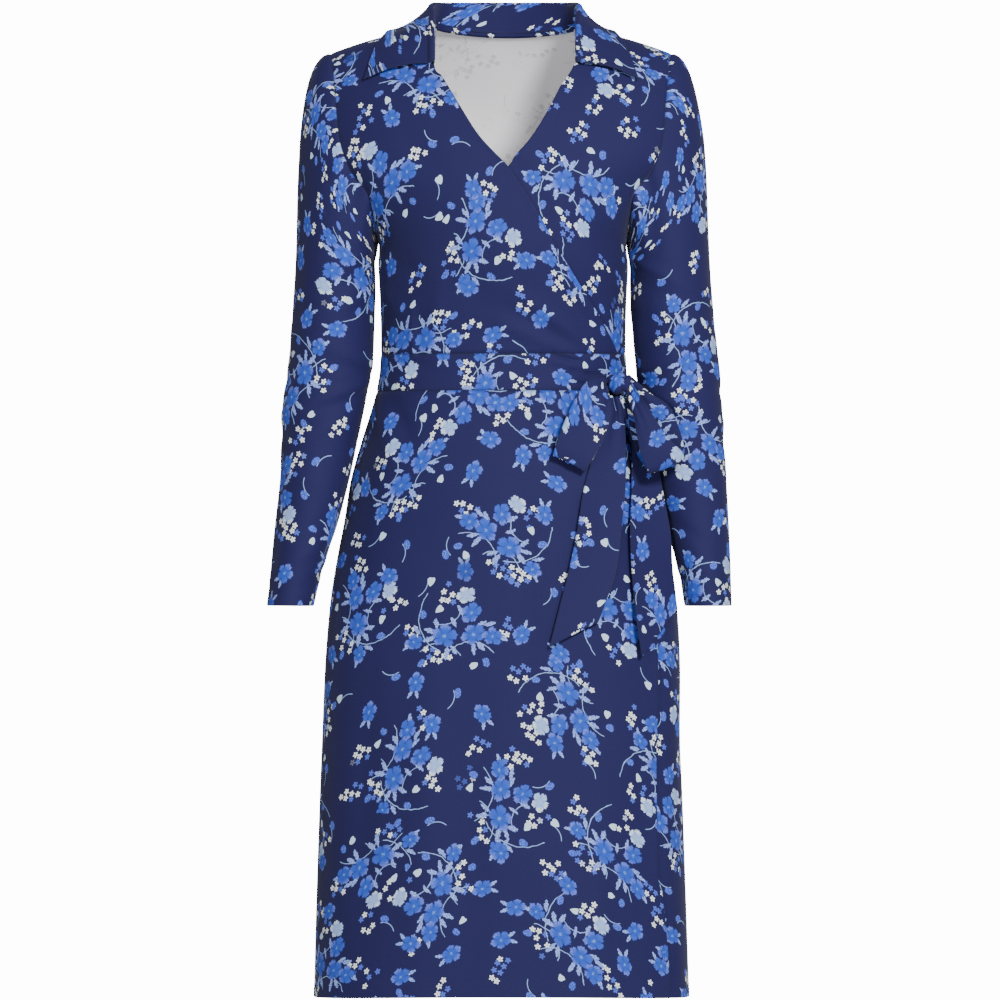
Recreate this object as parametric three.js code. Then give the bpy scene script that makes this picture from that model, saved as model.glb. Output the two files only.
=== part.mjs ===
// A long-sleeved jersey wrap dress in its worn form, hollow, with nobody in it.
// Millimetres, +Z up, the front faces -Y and the wearer's left is +X.
// The origin is the middle of the neck, level with the shoulder seams.
import * as THREE from "three";

// Cloth
const WALL = 1.3; // one layer of jersey
const SEAM = 0.5; // gap between two pieces at a seam
const LAP = 4.2; // how far an under front lies inside the one over it

// Levels
const HEM = -1008;
const HEM_SIDES = 5; // how far the hem falls towards the side seams
const BAND_BOTTOM = -372;
const BAND_TOP = -334;
const UNDERARM = -212;

// The shoulder seam falls from the neck to the arm as the cloth turns over it
const RIDGE = { top: 20.2, curve: 0.00106 };
const SPREAD = 200; // half width that the yoke would have without armholes
const DROP = 120; // height over which the cloth turns over the shoulder
const FULLNESS = 0.85; // below 1 the body's section is fuller than an ellipse

// Half width, how far its middle stands to the wearer's left, and depth before and behind
// the side seam, at each level of the body
const SECTIONS = [
  { z: -1008, half: 198.8, shift: 0.6, front: 118, back: 119 },
  { z: -912, half: 196, shift: 0.3, front: 117, back: 118 },
  { z: -806, half: 192.4, shift: 0.2, front: 115, back: 118 },
  { z: -742, half: 189.8, shift: 0.1, front: 114, back: 118 },
  { z: -657, half: 188, shift: 1.9, front: 112, back: 119 },
  { z: -594, half: 183.4, shift: 2.7, front: 110, back: 120 },
  { z: -551, half: 177, shift: 3, front: 108, back: 120 },
  { z: -509, half: 168.5, shift: 2.6, front: 106, back: 117 },
  { z: -466, half: 160.6, shift: 1.6, front: 103, back: 110 },
  { z: -424, half: 148.6, shift: 1.4, front: 99, back: 97 },
  { z: -382, half: 135.6, shift: 1.4, front: 93, back: 82 },
  { z: -353, half: 130.5, shift: 2.4, front: 91, back: 76 },
  { z: -318, half: 129.6, shift: 2.5, front: 93, back: 76 },
  { z: -276, half: 130.6, shift: 2.5, front: 103, back: 82 },
  { z: -240, half: 132.4, shift: 2.4, front: 113, back: 87 },
  { z: -212, half: 132, shift: 1.5, front: 118, back: 91 },
  { z: -170, half: 152, shift: 0, front: 118, back: 96 },
  { z: -127, half: 190, shift: 0, front: 111, back: 98 },
  { z: -74, half: 197, shift: 0, front: 97, back: 94 },
  { z: 0, half: 200, shift: 0, front: 82, back: 80 },
  { z: 60, half: 200, shift: 0, front: 78, back: 78 },
];

// Armholes, from the underarm to the shoulder point: how far out and at what level
const ARMHOLES = {
  front: [
    { x: 137, z: -170 },
    { x: 154, z: -148 },
    { x: 165, z: -127 },
    { x: 174, z: -74 },
  ],
  back: [
    { x: 143, z: -178 },
    { x: 163, z: -152 },
    { x: 173, z: -127 },
    { x: 178, z: -74 },
  ],
};
const SHOULDER_POINT = 181;

// Neck opening: its middle, half width, and how far the back falls below the shoulder seams
const NECK = { middle: 4.5, half: 76, dip: 6 };

// Free edges of the wrapped pieces, from the top down
const NECKLINE_OVER = [
  { x: -71, z: -26 },
  { x: -61.5, z: -42.5 },
  { x: -43.9, z: -72.6 },
  { x: -25.2, z: -102.7 },
  { x: -9, z: -121.3 },
  { x: 7.1, z: -138 },
  { x: 25, z: -164 },
  { x: 47, z: -201 },
  { x: 75, z: -249 },
  { x: 105, z: -297 },
  { x: 124, z: -334 },
];
const NECKLINE_UNDER = [
  { x: 79, z: -22 },
  { x: 62, z: -53.8 },
  { x: 47.5, z: -82 },
  { x: 30.7, z: -108.7 },
  { x: 13.8, z: -128 },
  { x: 7.1, z: -138 },
  { x: -25, z: -175 },
  { x: -47, z: -210 },
  { x: -75, z: -254 },
  { x: -105, z: -299 },
  { x: -121, z: -334 },
];
const SKIRT_EDGE = [
  { x: 118, z: -372 },
  { x: 148, z: -466 },
  { x: 163, z: -594 },
  { x: 165, z: -689 },
  { x: 165, z: -869 },
  { x: 171, z: -907 },
  { x: 177, z: -975 },
  { x: 177, z: -1008 },
];

// Largest folds of the body: from one end to the other, half breadth and height
const FOLDS = [
  { side: 1, x0: -92, z0: -290, x1: -92, z1: -336, breadth: 9, height: 2.4 },
  { side: 1, x0: -64, z0: -262, x1: -70, z1: -330, breadth: 12, height: 1.8 },
  { side: 1, x0: 12, z0: -270, x1: 100, z1: -336, breadth: 9, height: 2.4 },
  { side: 1, x0: 30, z0: -246, x1: 92, z1: -296, breadth: 10, height: -0.8 },
  { side: 1, x0: -20, z0: -296, x1: 84, z1: -344, breadth: 8, height: 1.8 },
  { side: 1, x0: -136, z0: -384, x1: -158, z1: -560, breadth: 16, height: -1.2 },
  { side: 1, x0: 84, z0: -392, x1: 118, z1: -660, breadth: 16, height: 2.4 },
  { side: 1, x0: 20, z0: -430, x1: 34, z1: -760, breadth: 20, height: -1.2 },
  { side: 1, x0: -70, z0: -600, x1: -92, z1: -1008, breadth: 24, height: 2.6 },
  { side: 1, x0: 96, z0: -760, x1: 106, z1: -1008, breadth: 22, height: 2.6 },
  { side: -1, x0: -60, z0: -300, x1: 58, z1: -318, breadth: 11, height: 2.4 },
  { side: -1, x0: -74, z0: -336, x1: 70, z1: -330, breadth: 9, height: -1.6 },
  { side: -1, x0: -84, z0: -520, x1: -104, z1: -1008, breadth: 26, height: 3 },
  { side: -1, x0: 12, z0: -640, x1: 4, z1: -1008, breadth: 26, height: -2.4 },
  { side: -1, x0: 92, z0: -560, x1: 112, z1: -1008, breadth: 24, height: 2.8 },
];

// Sleeves: centre out from the middle on each arm, half width, half depth, and how far forward
const SLEEVES = [
  { z: -238, right: 175.5, left: 178.5, half: 41.5, deep: 56, fore: 0 },
  { z: -276, right: 177, left: 181, half: 42.8, deep: 54, fore: 1 },
  { z: -318, right: 179, left: 184.5, half: 43.6, deep: 51, fore: 3 },
  { z: -350, right: 181.5, left: 188, half: 43.9, deep: 48, fore: 6 },
  { z: -382, right: 186.5, left: 191, half: 42.8, deep: 46, fore: 9 },
  { z: -424, right: 191.5, left: 196, half: 39.2, deep: 44, fore: 14 },
  { z: -466, right: 197, left: 201.5, half: 36, deep: 42, fore: 19 },
  { z: -509, right: 204.6, left: 207, half: 32.8, deep: 40, fore: 24 },
  { z: -551, right: 214, left: 213.5, half: 28, deep: 38, fore: 29 },
  { z: -599, right: 222.6, left: 218.6, half: 23.8, deep: 36, fore: 33 },
];
const SLEEVE_HEAD = { right: 1, left: -2 }; // how far each sleeve's head stands out past its arm

// Largest folds of a sleeve: level at the front and at the side next to the body
const SLEEVE_FOLDS = [
  { z: -262, slope: 0.5, breadth: 11, height: 1.6 },
  { z: -340, slope: -0.4, breadth: 12, height: 2 },
  { z: -378, slope: 0.5, breadth: 10, height: -1.8 },
  { z: -410, slope: 0.3, breadth: 11, height: 2 },
  { z: -560, slope: 0.4, breadth: 9, height: 1.4 },
];

// Collar, from its front end round to the middle of the back: where it is sewn on (side 1
// front, -1 back, where it follows the seam), its fold, both out from the middle of the
// neck, and its outer edge
const COLLAR = [
  { side: 1, sewX: 74.5, sewZ: -24, foldX: 75, foldY: -66, foldZ: -25, edgeX: 144, edgeY: -55, edgeZ: -45 },
  { side: 1, sewX: 74.5, sewZ: -8, foldX: 75, foldY: -44, foldZ: 10, edgeX: 134, edgeY: -34, edgeZ: -14 },
  { side: 1, sewX: 74.5, sewZ: 5, foldX: 75.3, foldY: -25, foldZ: 27, edgeX: 126, edgeY: -16, edgeZ: 2.2 },
  { side: -1, sewX: 74.5, foldX: 75.5, foldY: -4, foldZ: 38, edgeX: 120, edgeY: 4, edgeZ: 6.9 },
  { side: -1, sewX: 54, foldX: 60, foldY: 36, foldZ: 41, edgeX: 96, edgeY: 58, edgeZ: -12 },
  { side: -1, sewX: 0, foldX: 0, foldY: 52, foldZ: 42, edgeX: 0, edgeY: 77, edgeZ: -26 },
];
const COLLAR_FOLD = 2.4; // radius of the collar's turn
const BINDING = { depth: 0.36, thickness: 1 }; // depth as a share of the bodice's top row


// Knot of the tie
const KNOT = { x: 124.5, y: -63, z: -365, wide: 11.5, deep: 11, high: 11.5 };

// Loops and tails of the tie, from the knot out: one edge (a), then the other (b)
const LOOP_FRONT = [
  { ax: 111.3, ay: -66, az: -357, bx: 111.2, by: -67, bz: -375 },
  { ax: 97, ay: -84, az: -358, bx: 115, by: -78, bz: -383 },
  { ax: 84, ay: -96, az: -371, bx: 115, by: -86, bz: -398 },
  { ax: 70, ay: -105, az: -398, bx: 109, by: -94, bz: -418 },
  { ax: 58, ay: -110, az: -430, bx: 97, by: -101, bz: -442 },
  { ax: 54.5, ay: -107, az: -441, bx: 87, by: -100, bz: -457 },
  { ax: 58, ay: -103, az: -432, bx: 97, by: -95, bz: -443 },
  { ax: 71, ay: -98, az: -403, bx: 108, by: -86, bz: -419 },
  { ax: 85, ay: -88, az: -380, bx: 113, by: -78, bz: -399 },
  { ax: 103, ay: -72, az: -362, bx: 113, by: -71, bz: -382 },
  { ax: 111.3, ay: -59.8, az: -359, bx: 111.2, by: -60.2, bz: -373 },
];
const LOOP_SIDE = [
  { ax: 137, ay: -62, az: -357, bx: 137, by: -63, bz: -374 },
  { ax: 146, ay: -71, az: -370, bx: 139, by: -72, bz: -386 },
  { ax: 156.6, ay: -79, az: -383, bx: 143, by: -81, bz: -400 },
  { ax: 168, ay: -85, az: -401, bx: 145, by: -87, bz: -418 },
  { ax: 181, ay: -88, az: -421, bx: 147, by: -90, bz: -438 },
  { ax: 190, ay: -86, az: -437, bx: 153, by: -89, bz: -453 },
  { ax: 192.5, ay: -81, az: -444, bx: 155.5, by: -84, bz: -459 },
  { ax: 193, ay: -75, az: -438, bx: 152, by: -78, bz: -453 },
  { ax: 188.5, ay: -70, az: -420, bx: 143, by: -73, bz: -438 },
  { ax: 176, ay: -66, az: -391, bx: 138, by: -69, bz: -416 },
  { ax: 157, ay: -62, az: -377, bx: 136.5, by: -64, bz: -397 },
  { ax: 137, ay: -54, az: -355, bx: 137, by: -56, bz: -377 },
];
const TAIL_FRONT = [
  { ax: 112.5, ay: -63, az: -378.2, bx: 123.5, by: -60, bz: -378.2 },
  { ax: 112, ay: -67, az: -396, bx: 129, by: -62, bz: -399 },
  { ax: 102, ay: -81, az: -424, bx: 131, by: -68, bz: -424 },
  { ax: 87, ay: -97, az: -477, bx: 130, by: -80, bz: -477 },
  { ax: 80, ay: -103, az: -519, bx: 126, by: -87, bz: -519 },
  { ax: 71, ay: -108, az: -562, bx: 120, by: -94, bz: -562 },
  { ax: 60, ay: -112, az: -606, bx: 108, by: -102, bz: -598 },
  { ax: 51, ay: -115, az: -641, bx: 102, by: -105, bz: -615 },
];
const TAIL_SIDE = [
  { ax: 124.5, ay: -59, az: -378.2, bx: 137.5, by: -54, bz: -378.2 },
  { ax: 128.5, ay: -60, az: -396, bx: 150, by: -52, bz: -397 },
  { ax: 137.5, ay: -58, az: -424, bx: 158, by: -46, bz: -424 },
  { ax: 137.5, ay: -67, az: -469, bx: 163, by: -49, bz: -469 },
  { ax: 136, ay: -80, az: -519, bx: 172, by: -53, bz: -519 },
  { ax: 138, ay: -85, az: -562, bx: 178, by: -52, bz: -556 },
  { ax: 142, ay: -88, az: -612, bx: 183, by: -52, bz: -584 },
  { ax: 148, ay: -85, az: -652, bx: 186, by: -52, bz: -602 },
];

const COLOURS = { print: 0x2a3278 };

const lerp = THREE.MathUtils.lerp;
const smoothstep = THREE.MathUtils.smoothstep;
const clamp = THREE.MathUtils.clamp;
const QUARTER = Math.PI / 2;

// A value read from a table of levels, along a smooth curve through its rows
function read(table, column, z) {
  const rows = table[0].z < table[table.length - 1].z ? table : [...table].reverse();
  const level = clamp(z, rows[0].z, rows[rows.length - 1].z);
  const k = clamp(rows.findIndex((row) => row.z >= level) - 1, 0, rows.length - 2);
  const slope = (i) => {
    const a = rows[Math.max(i - 1, 0)];
    const b = rows[Math.min(i + 1, rows.length - 1)];
    return (b[column] - a[column]) / (b.z - a.z);
  };
  const span = rows[k + 1].z - rows[k].z;
  const t = (level - rows[k].z) / span;
  const rise = t * t * (3 - 2 * t);
  const lead = t * (1 - t) * (1 - t) * span * slope(k);
  const tail = t * t * (1 - t) * span * slope(k + 1);
  return lerp(rows[k][column], rows[k + 1][column], rise) + lead - tail;
}

// The body's surface is read by turn, from side seam to side seam, and by climb, which is
// height that keeps its length as the cloth turns over the shoulder
const ridge = (x) => RIDGE.top - RIDGE.curve * x * x;
const yoke = (turn) => ridge(SPREAD * Math.sin(turn)) - DROP;
const TOP_CLIMB = DROP * QUARTER;
const UNDERARM_CLIMB = UNDERARM - yoke(QUARTER);

function climbTo(turn, z) {
  const above = z - yoke(turn);
  return above < 0 ? above : DROP * Math.asin(Math.min(above / DROP, 1));
}

function locate({ x, z }) {
  const across = (x - read(SECTIONS, "shift", z)) / read(SECTIONS, "half", z);
  const turn = Math.asin(clamp(across, -1, 1));
  return new THREE.Vector2(turn, climbTo(turn, z));
}

function bodyPoint(turn, climb, side) {
  const over = Math.max(climb, 0) / DROP;
  const z = yoke(turn) + Math.min(climb, 0) + DROP * Math.sin(over);
  const across = Math.cos(turn);
  const depth = read(SECTIONS, side > 0 ? "front" : "back", z) * Math.cos(over);
  const out = depth * Math.sign(across) * Math.abs(across) ** FULLNESS;
  const x = read(SECTIONS, "shift", z) + read(SECTIONS, "half", z) * Math.sin(turn);
  return new THREE.Vector3(x, -side * out, z);
}

function bodyNormal(turn, climb, side) {
  const step = 0.01;
  const around = bodyPoint(turn + step, climb, side).sub(bodyPoint(turn - step, climb, side));
  const up = bodyPoint(turn, climb + 1, side).sub(bodyPoint(turn, climb - 1, side));
  return around.cross(up).normalize().multiplyScalar(side);
}

function foldHeight(point, side) {
  let height = 0;
  for (const fold of FOLDS.filter((row) => row.side === side)) {
    const run = new THREE.Vector2(fold.x1 - fold.x0, fold.z1 - fold.z0);
    const from = new THREE.Vector2(point.x - fold.x0, point.z - fold.z0);
    const along = clamp(from.dot(run) / run.lengthSq(), 0, 1);
    const away = from.addScaledVector(run, -along).length() / fold.breadth;
    const swell = 0.25 + 0.75 * Math.sin(Math.PI * along);
    height += fold.height * swell * Math.exp(-away * away);
  }
  const seamFade = smoothstep(Math.abs(point.y), 4, 30);
  return height * seamFade;
}

// A point on the body and the way out from it, raised by lift and by the folds
function onBody(turn, climb, side, lift = 0, seam = SEAM / 2) {
  const point = bodyPoint(turn, climb, side);
  const normal = bodyNormal(turn, climb, side);
  const shown = 1 - clamp(-lift / LAP, 0, 1);
  point.addScaledVector(normal, lift + shown * foldHeight(point, side));
  point.y -= side * seam;
  return { point, normal };
}

// The turn of an edge at a climb, from points on that edge
function edge(points, first, last) {
  const spots = points.map(locate);
  if (first) spots.unshift(first);
  if (last) spots.push(last);
  spots.sort((a, b) => a.y - b.y);
  const curve = new THREE.SplineCurve(spots);
  return (climb) => {
    let low = 0;
    let high = 1;
    for (let k = 0; k < 30; k += 1) {
      const middle = (low + high) / 2;
      if (curve.getPoint(middle).y < climb) low = middle;
      else high = middle;
    }
    return curve.getPoint(low).x;
  };
}

const shoulderTurn = (x) => Math.asin(x / SPREAD);
const underarmSpot = new THREE.Vector2(QUARTER, UNDERARM_CLIMB);
const shoulderSpot = new THREE.Vector2(shoulderTurn(SHOULDER_POINT), TOP_CLIMB);
const armholes = {
  1: edge(ARMHOLES.front, underarmSpot, shoulderSpot),
  "-1": edge(ARMHOLES.back, underarmSpot, shoulderSpot),
};

// Side seam below the underarm and armhole above it, on the wearer's left (1) or right (-1)
function sideEdge(hand, side) {
  return (climb) => hand * (climb <= UNDERARM_CLIMB ? QUARTER : armholes[side](climb));
}

const neckTurn = (hand) => shoulderTurn(NECK.middle + hand * NECK.half);
const neckSpot = (hand) => new THREE.Vector2(neckTurn(hand), TOP_CLIMB);
const overNeckline = edge(NECKLINE_OVER, null, neckSpot(-1));
const underNeckline = edge(NECKLINE_UNDER, null, neckSpot(1));
const skirtEdge = edge(SKIRT_EDGE);
const hiddenSkirtEdge = (climb) => -skirtEdge(climb);

// The back neck is a shallow curve between the shoulder seams
function backTop(turn) {
  const across = (SPREAD * Math.sin(turn) - NECK.middle) / NECK.half;
  if (Math.abs(across) >= 1) return TOP_CLIMB;
  const [right, left] = [-1, 1].map((hand) => ridge(NECK.middle + hand * NECK.half));
  return climbTo(turn, lerp(right, left, (1 + across) / 2) - NECK.dip * (1 - across ** 2));
}

// Rows of a bodice piece from the waist up, and of a skirt piece from the hem up
const BELOW = 6;
const ABOVE = 9;
const NECK_COLUMNS = 10;
const SKIRT_ROWS = 13;
function bodiceRows(top) {
  const rows = [];
  for (let k = 0; k < BELOW; k += 1) {
    const rise = k / BELOW;
    rows.push((turn) => lerp(climbTo(turn, BAND_TOP + SEAM), UNDERARM_CLIMB, rise));
  }
  for (let k = 0; k <= ABOVE; k += 1) {
    rows.push((turn) => lerp(UNDERARM_CLIMB, top(turn), k / ABOVE));
  }
  return rows;
}

function skirtRows(count) {
  const rows = [];
  for (let k = 0; k <= count; k += 1) {
    const rise = (k / count) ** 0.85;
    const fall = HEM_SIDES * (1 - rise);
    const level = lerp(HEM, BAND_BOTTOM - SEAM, rise);
    rows.push((turn) => climbTo(turn, level - fall * Math.sin(turn) ** 2));
  }
  return rows;
}

// Closed wall between an outer and an inner grid of points
function wall(name, colour, outer, inner, closed = false) {
  const rows = outer.length;
  const columns = outer[0].length;
  const points = [...outer.flat(), ...inner.flat()];
  const faces = [];
  const at = (layer, j, i) => layer * rows * columns + j * columns + (i % columns);
  const quad = (a, b, c, d) => faces.push(a, b, c, a, c, d);
  const last = closed ? columns : columns - 1;
  for (let j = 0; j < rows - 1; j += 1) {
    for (let i = 0; i < last; i += 1) {
      quad(at(0, j, i), at(0, j, i + 1), at(0, j + 1, i + 1), at(0, j + 1, i));
      quad(at(1, j, i + 1), at(1, j, i), at(1, j + 1, i), at(1, j + 1, i + 1));
    }
  }
  for (let i = 0; i < last; i += 1) {
    quad(at(1, 0, i), at(1, 0, i + 1), at(0, 0, i + 1), at(0, 0, i));
    quad(at(0, rows - 1, i), at(0, rows - 1, i + 1), at(1, rows - 1, i + 1), at(1, rows - 1, i));
  }
  for (let j = 0; j < rows - 1 && !closed; j += 1) {
    quad(at(1, j, 0), at(0, j, 0), at(0, j + 1, 0), at(1, j + 1, 0));
    quad(at(0, j, last), at(1, j, last), at(1, j + 1, last), at(0, j + 1, last));
  }
  let volume = 0;
  for (let k = 0; k < faces.length; k += 3) {
    const [a, b, c] = [points[faces[k]], points[faces[k + 1]], points[faces[k + 2]]];
    volume += a.dot(b.clone().cross(c));
  }
  if (volume < 0) faces.reverse();
  const geometry = new THREE.BufferGeometry().setFromPoints(points);
  geometry.setIndex(faces);
  geometry.computeVertexNormals();
  const material = new THREE.MeshStandardMaterial({ color: colour, roughness: 0.8, metalness: 0 });
  const mesh = new THREE.Mesh(geometry, material);
  mesh.name = name;
  return mesh;
}

const moved = (point, normal, by) => point.clone().addScaledVector(normal, by);

// One panel of the body between two edges, at the climbs of its rows
function panel(name, options) {
  const { side, rows, left, right, middle = [], columns, lift = () => 0 } = options;
  const outer = [];
  const inner = [];
  for (const climbOf of rows) {
    const settle = (border) => {
      let turn = border(climbOf(0));
      for (let k = 0; k < 8; k += 1) turn = border(climbOf(turn));
      return turn;
    };
    const stops = [settle(left), ...middle, settle(right)];
    const outerRow = [];
    const innerRow = [];
    for (let part = 0; part < columns.length; part += 1) {
      const count = columns[part];
      const start = part === 0 ? 0 : 1;
      for (let i = start; i <= count; i += 1) {
        const turn = lerp(stops[part], stops[part + 1], i / count);
        const climb = climbOf(turn);
        const { point, normal } = onBody(turn, climb, side, lift(turn, climb));
        outerRow.push(point);
        innerRow.push(moved(point, normal, -WALL));
      }
    }
    outer.push(outerRow);
    inner.push(innerRow);
  }
  return wall(name, options.colour ?? COLOURS.print, outer, inner);
}

// An under front dips inside the over front and comes out level at its own side seam
function dipUnder(border, near, far) {
  return (turn, climb) => {
    const z = bodyPoint(turn, climb, 1).z;
    const past = (turn - border(climb)) * read(SECTIONS, "half", z);
    return -LAP * (1 - smoothstep(past, near, far));
  };
}

const whole = new THREE.Group();

whole.add(
  panel("bodice_back", {
    side: -1,
    rows: bodiceRows(backTop),
    left: sideEdge(-1, -1),
    right: sideEdge(1, -1),
    middle: [neckTurn(-1), neckTurn(1)],
    columns: [6, NECK_COLUMNS, 6],
  }),
  panel("bodice_front_over", {
    side: 1,
    rows: bodiceRows(() => TOP_CLIMB),
    left: sideEdge(-1, 1),
    right: overNeckline,
    columns: [20],
  }),
  panel("bodice_front_under", {
    side: 1,
    rows: bodiceRows(() => TOP_CLIMB),
    left: underNeckline,
    right: sideEdge(1, 1),
    columns: [20],
    lift: dipUnder(overNeckline, 24, 50),
  }),
  panel("skirt_back", {
    side: -1,
    rows: skirtRows(SKIRT_ROWS),
    left: () => -QUARTER,
    right: () => QUARTER,
    columns: [22],
  }),
  panel("skirt_front_over", {
    side: 1,
    rows: skirtRows(SKIRT_ROWS),
    left: () => -QUARTER,
    right: skirtEdge,
    columns: [20],
  }),
  panel("skirt_front_under", {
    side: 1,
    rows: skirtRows(SKIRT_ROWS),
    left: hiddenSkirtEdge,
    right: () => QUARTER,
    columns: [20],
    lift: dipUnder(skirtEdge, 12, 42),
  }),
);


// The band is one ring round the waist, a little proud of the bodice and skirt
function waistBand() {
  const proud = 0.5;
  const quarterCount = 11;
  const outer = [];
  const inner = [];
  for (const z of [BAND_BOTTOM, (BAND_BOTTOM + BAND_TOP) / 2, BAND_TOP]) {
    const outerRow = [];
    const innerRow = [];
    for (let i = 0; i < quarterCount * 4; i += 1) {
      const round = -QUARTER + (i / quarterCount) * QUARTER;
      const side = i < quarterCount * 2 ? 1 : -1;
      const turn = side > 0 ? round : Math.PI - round;
      const { point, normal } = onBody(turn, climbTo(turn, z), side, proud, 0);
      outerRow.push(point);
      innerRow.push(moved(point, normal, -WALL));
    }
    outer.push(outerRow);
    inner.push(innerRow);
  }
  return wall("waist_band", COLOURS.print, outer, inner, true);
}

// Unit normals of a grid of points, from each point's neighbours
function gridNormals(grid, closed) {
  const rows = grid.length;
  const columns = grid[0].length;
  return grid.map((row, j) =>
    row.map((_, i) => {
      const left = closed ? (i + columns - 1) % columns : Math.max(i - 1, 0);
      const right = closed ? (i + 1) % columns : Math.min(i + 1, columns - 1);
      const around = row[right].clone().sub(row[left]);
      const along = grid[Math.min(j + 1, rows - 1)][i].clone().sub(grid[Math.max(j - 1, 0)][i]);
      return around.cross(along).normalize();
    }),
  );
}

// Armhole as a loop, from the underarm up the front, over the shoulder and down the back
function armhole(hand) {
  const spots = [];
  for (let k = 0; k <= ABOVE; k += 1) {
    const climb = lerp(UNDERARM_CLIMB, TOP_CLIMB, k / ABOVE);
    spots.push({ side: 1, climb });
  }
  for (let k = ABOVE - 1; k > 0; k -= 1) {
    spots.push({ side: -1, climb: lerp(UNDERARM_CLIMB, TOP_CLIMB, k / ABOVE) });
  }
  const loop = spots.map(({ side, climb }) => {
    const seam = climb <= UNDERARM_CLIMB || climb >= TOP_CLIMB ? 0 : SEAM / 2;
    return onBody(hand * armholes[side](climb), climb, side, 0, seam);
  });
  return loop.map(({ point, normal }, k) => {
    const before = loop[(k + loop.length - 1) % loop.length].point;
    const after = loop[(k + 1) % loop.length].point;
    const away = after.clone().sub(before).cross(normal).normalize().multiplyScalar(hand);
    return { point, normal, away };
  });
}

function sleeveRing(row, hand, angle) {
  const centre = hand > 0 ? row.left : row.right;
  const across = Math.cos(angle);
  const ahead = Math.sin(angle);
  const x = hand * (centre + row.half * across);
  return new THREE.Vector3(x, -row.fore - row.deep * ahead, row.z);
}

function sleeveFold(point, angle) {
  let height = 0;
  for (const fold of SLEEVE_FOLDS) {
    const level = fold.z + fold.slope * 30 * Math.cos(angle);
    const away = (point.z - level) / fold.breadth;
    const inward = 0.35 + 0.65 * smoothstep(Math.abs(Math.sin(angle)), 0, 0.8);
    height += fold.height * inward * Math.exp(-away * away);
  }
  return height;
}

const CAP_ROWS = 7;
const SLEEVE_ROWS = 12;

function sleeve(name, hand) {
  const head = SLEEVE_HEAD[hand > 0 ? "left" : "right"];
  const loop = armhole(hand);
  let length = 0;
  const reached = loop.map(({ point }, k) => {
    if (k > 0) length += point.distanceTo(loop[k - 1].point);
    return length;
  });
  const around = length + loop[0].point.distanceTo(loop[loop.length - 1].point);
  const front = reached[ABOVE];
  const angles = reached.map((run, k) =>
    k <= ABOVE
      ? Math.PI * (1 - run / front)
      : -Math.PI * ((run - front) / (around - front)),
  );
  const grid = [];
  for (let j = 0; j < CAP_ROWS; j += 1) {
    const t = j / CAP_ROWS;
    grid.push(
      loop.map(({ point, normal, away }, k) => {
        const start = moved(point, away, SEAM).addScaledVector(normal, SEAM);
        const end = sleeveRing(SLEEVES[0], hand, angles[k]);
        const top = (1 + Math.cos(angles[k])) / 2;
        const bend = start.clone().add(end).multiplyScalar(0.5);
        bend.x = hand * lerp(Math.abs(bend.x), Math.abs(end.x) + head, top);
        bend.z = lerp(start.z, end.z, lerp(0.5, 0, top));
        bend.y *= 1.06;
        const curve = new THREE.QuadraticBezierCurve3(start, bend, end);
        return curve.getPoint(t);
      }),
    );
  }
  const cuff = SLEEVES[SLEEVES.length - 1].z;
  for (let j = 0; j <= SLEEVE_ROWS; j += 1) {
    const z = lerp(SLEEVES[0].z, cuff, j / SLEEVE_ROWS);
    const row = { z };
    for (const column of ["right", "left", "half", "deep", "fore"]) {
      row[column] = read(SLEEVES, column, z);
    }
    grid.push(
      angles.map((angle) => {
        const point = sleeveRing(row, hand, angle);
        const out = new THREE.Vector3(hand * Math.cos(angle), -Math.sin(angle), 0);
        return point.addScaledVector(out, sleeveFold(point, angle));
      }),
    );
  }
  const normals = gridNormals(grid, true);
  const middle = sleeveRing({ ...SLEEVES[4], half: 0, deep: 0 }, hand, 0);
  const probe = grid[CAP_ROWS + 4][0].clone().sub(middle).setZ(0);
  const sign = Math.sign(probe.dot(normals[CAP_ROWS + 4][0]));
  const inner = grid.map((row, j) =>
    row.map((point, i) => {
      const normal = normals[j][i].clone().multiplyScalar(sign);
      if (j === 0) {
        const towards = Math.max(normal.dot(loop[i].away), 0);
        normal.addScaledVector(loop[i].away, -towards).normalize();
      }
      return moved(point, normal, -WALL);
    }),
  );
  return wall(name, COLOURS.print, grid, inner, true);
}

// A sheet of cloth given by its middle surface
function sheet(name, colour, grid, thickness = WALL) {
  const normals = gridNormals(grid, false);
  const shift = (by) => grid.map((row, j) => row.map((point, i) => moved(point, normals[j][i], by)));
  return wall(name, colour, shift(thickness / 2), shift(-thickness / 2));
}

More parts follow.
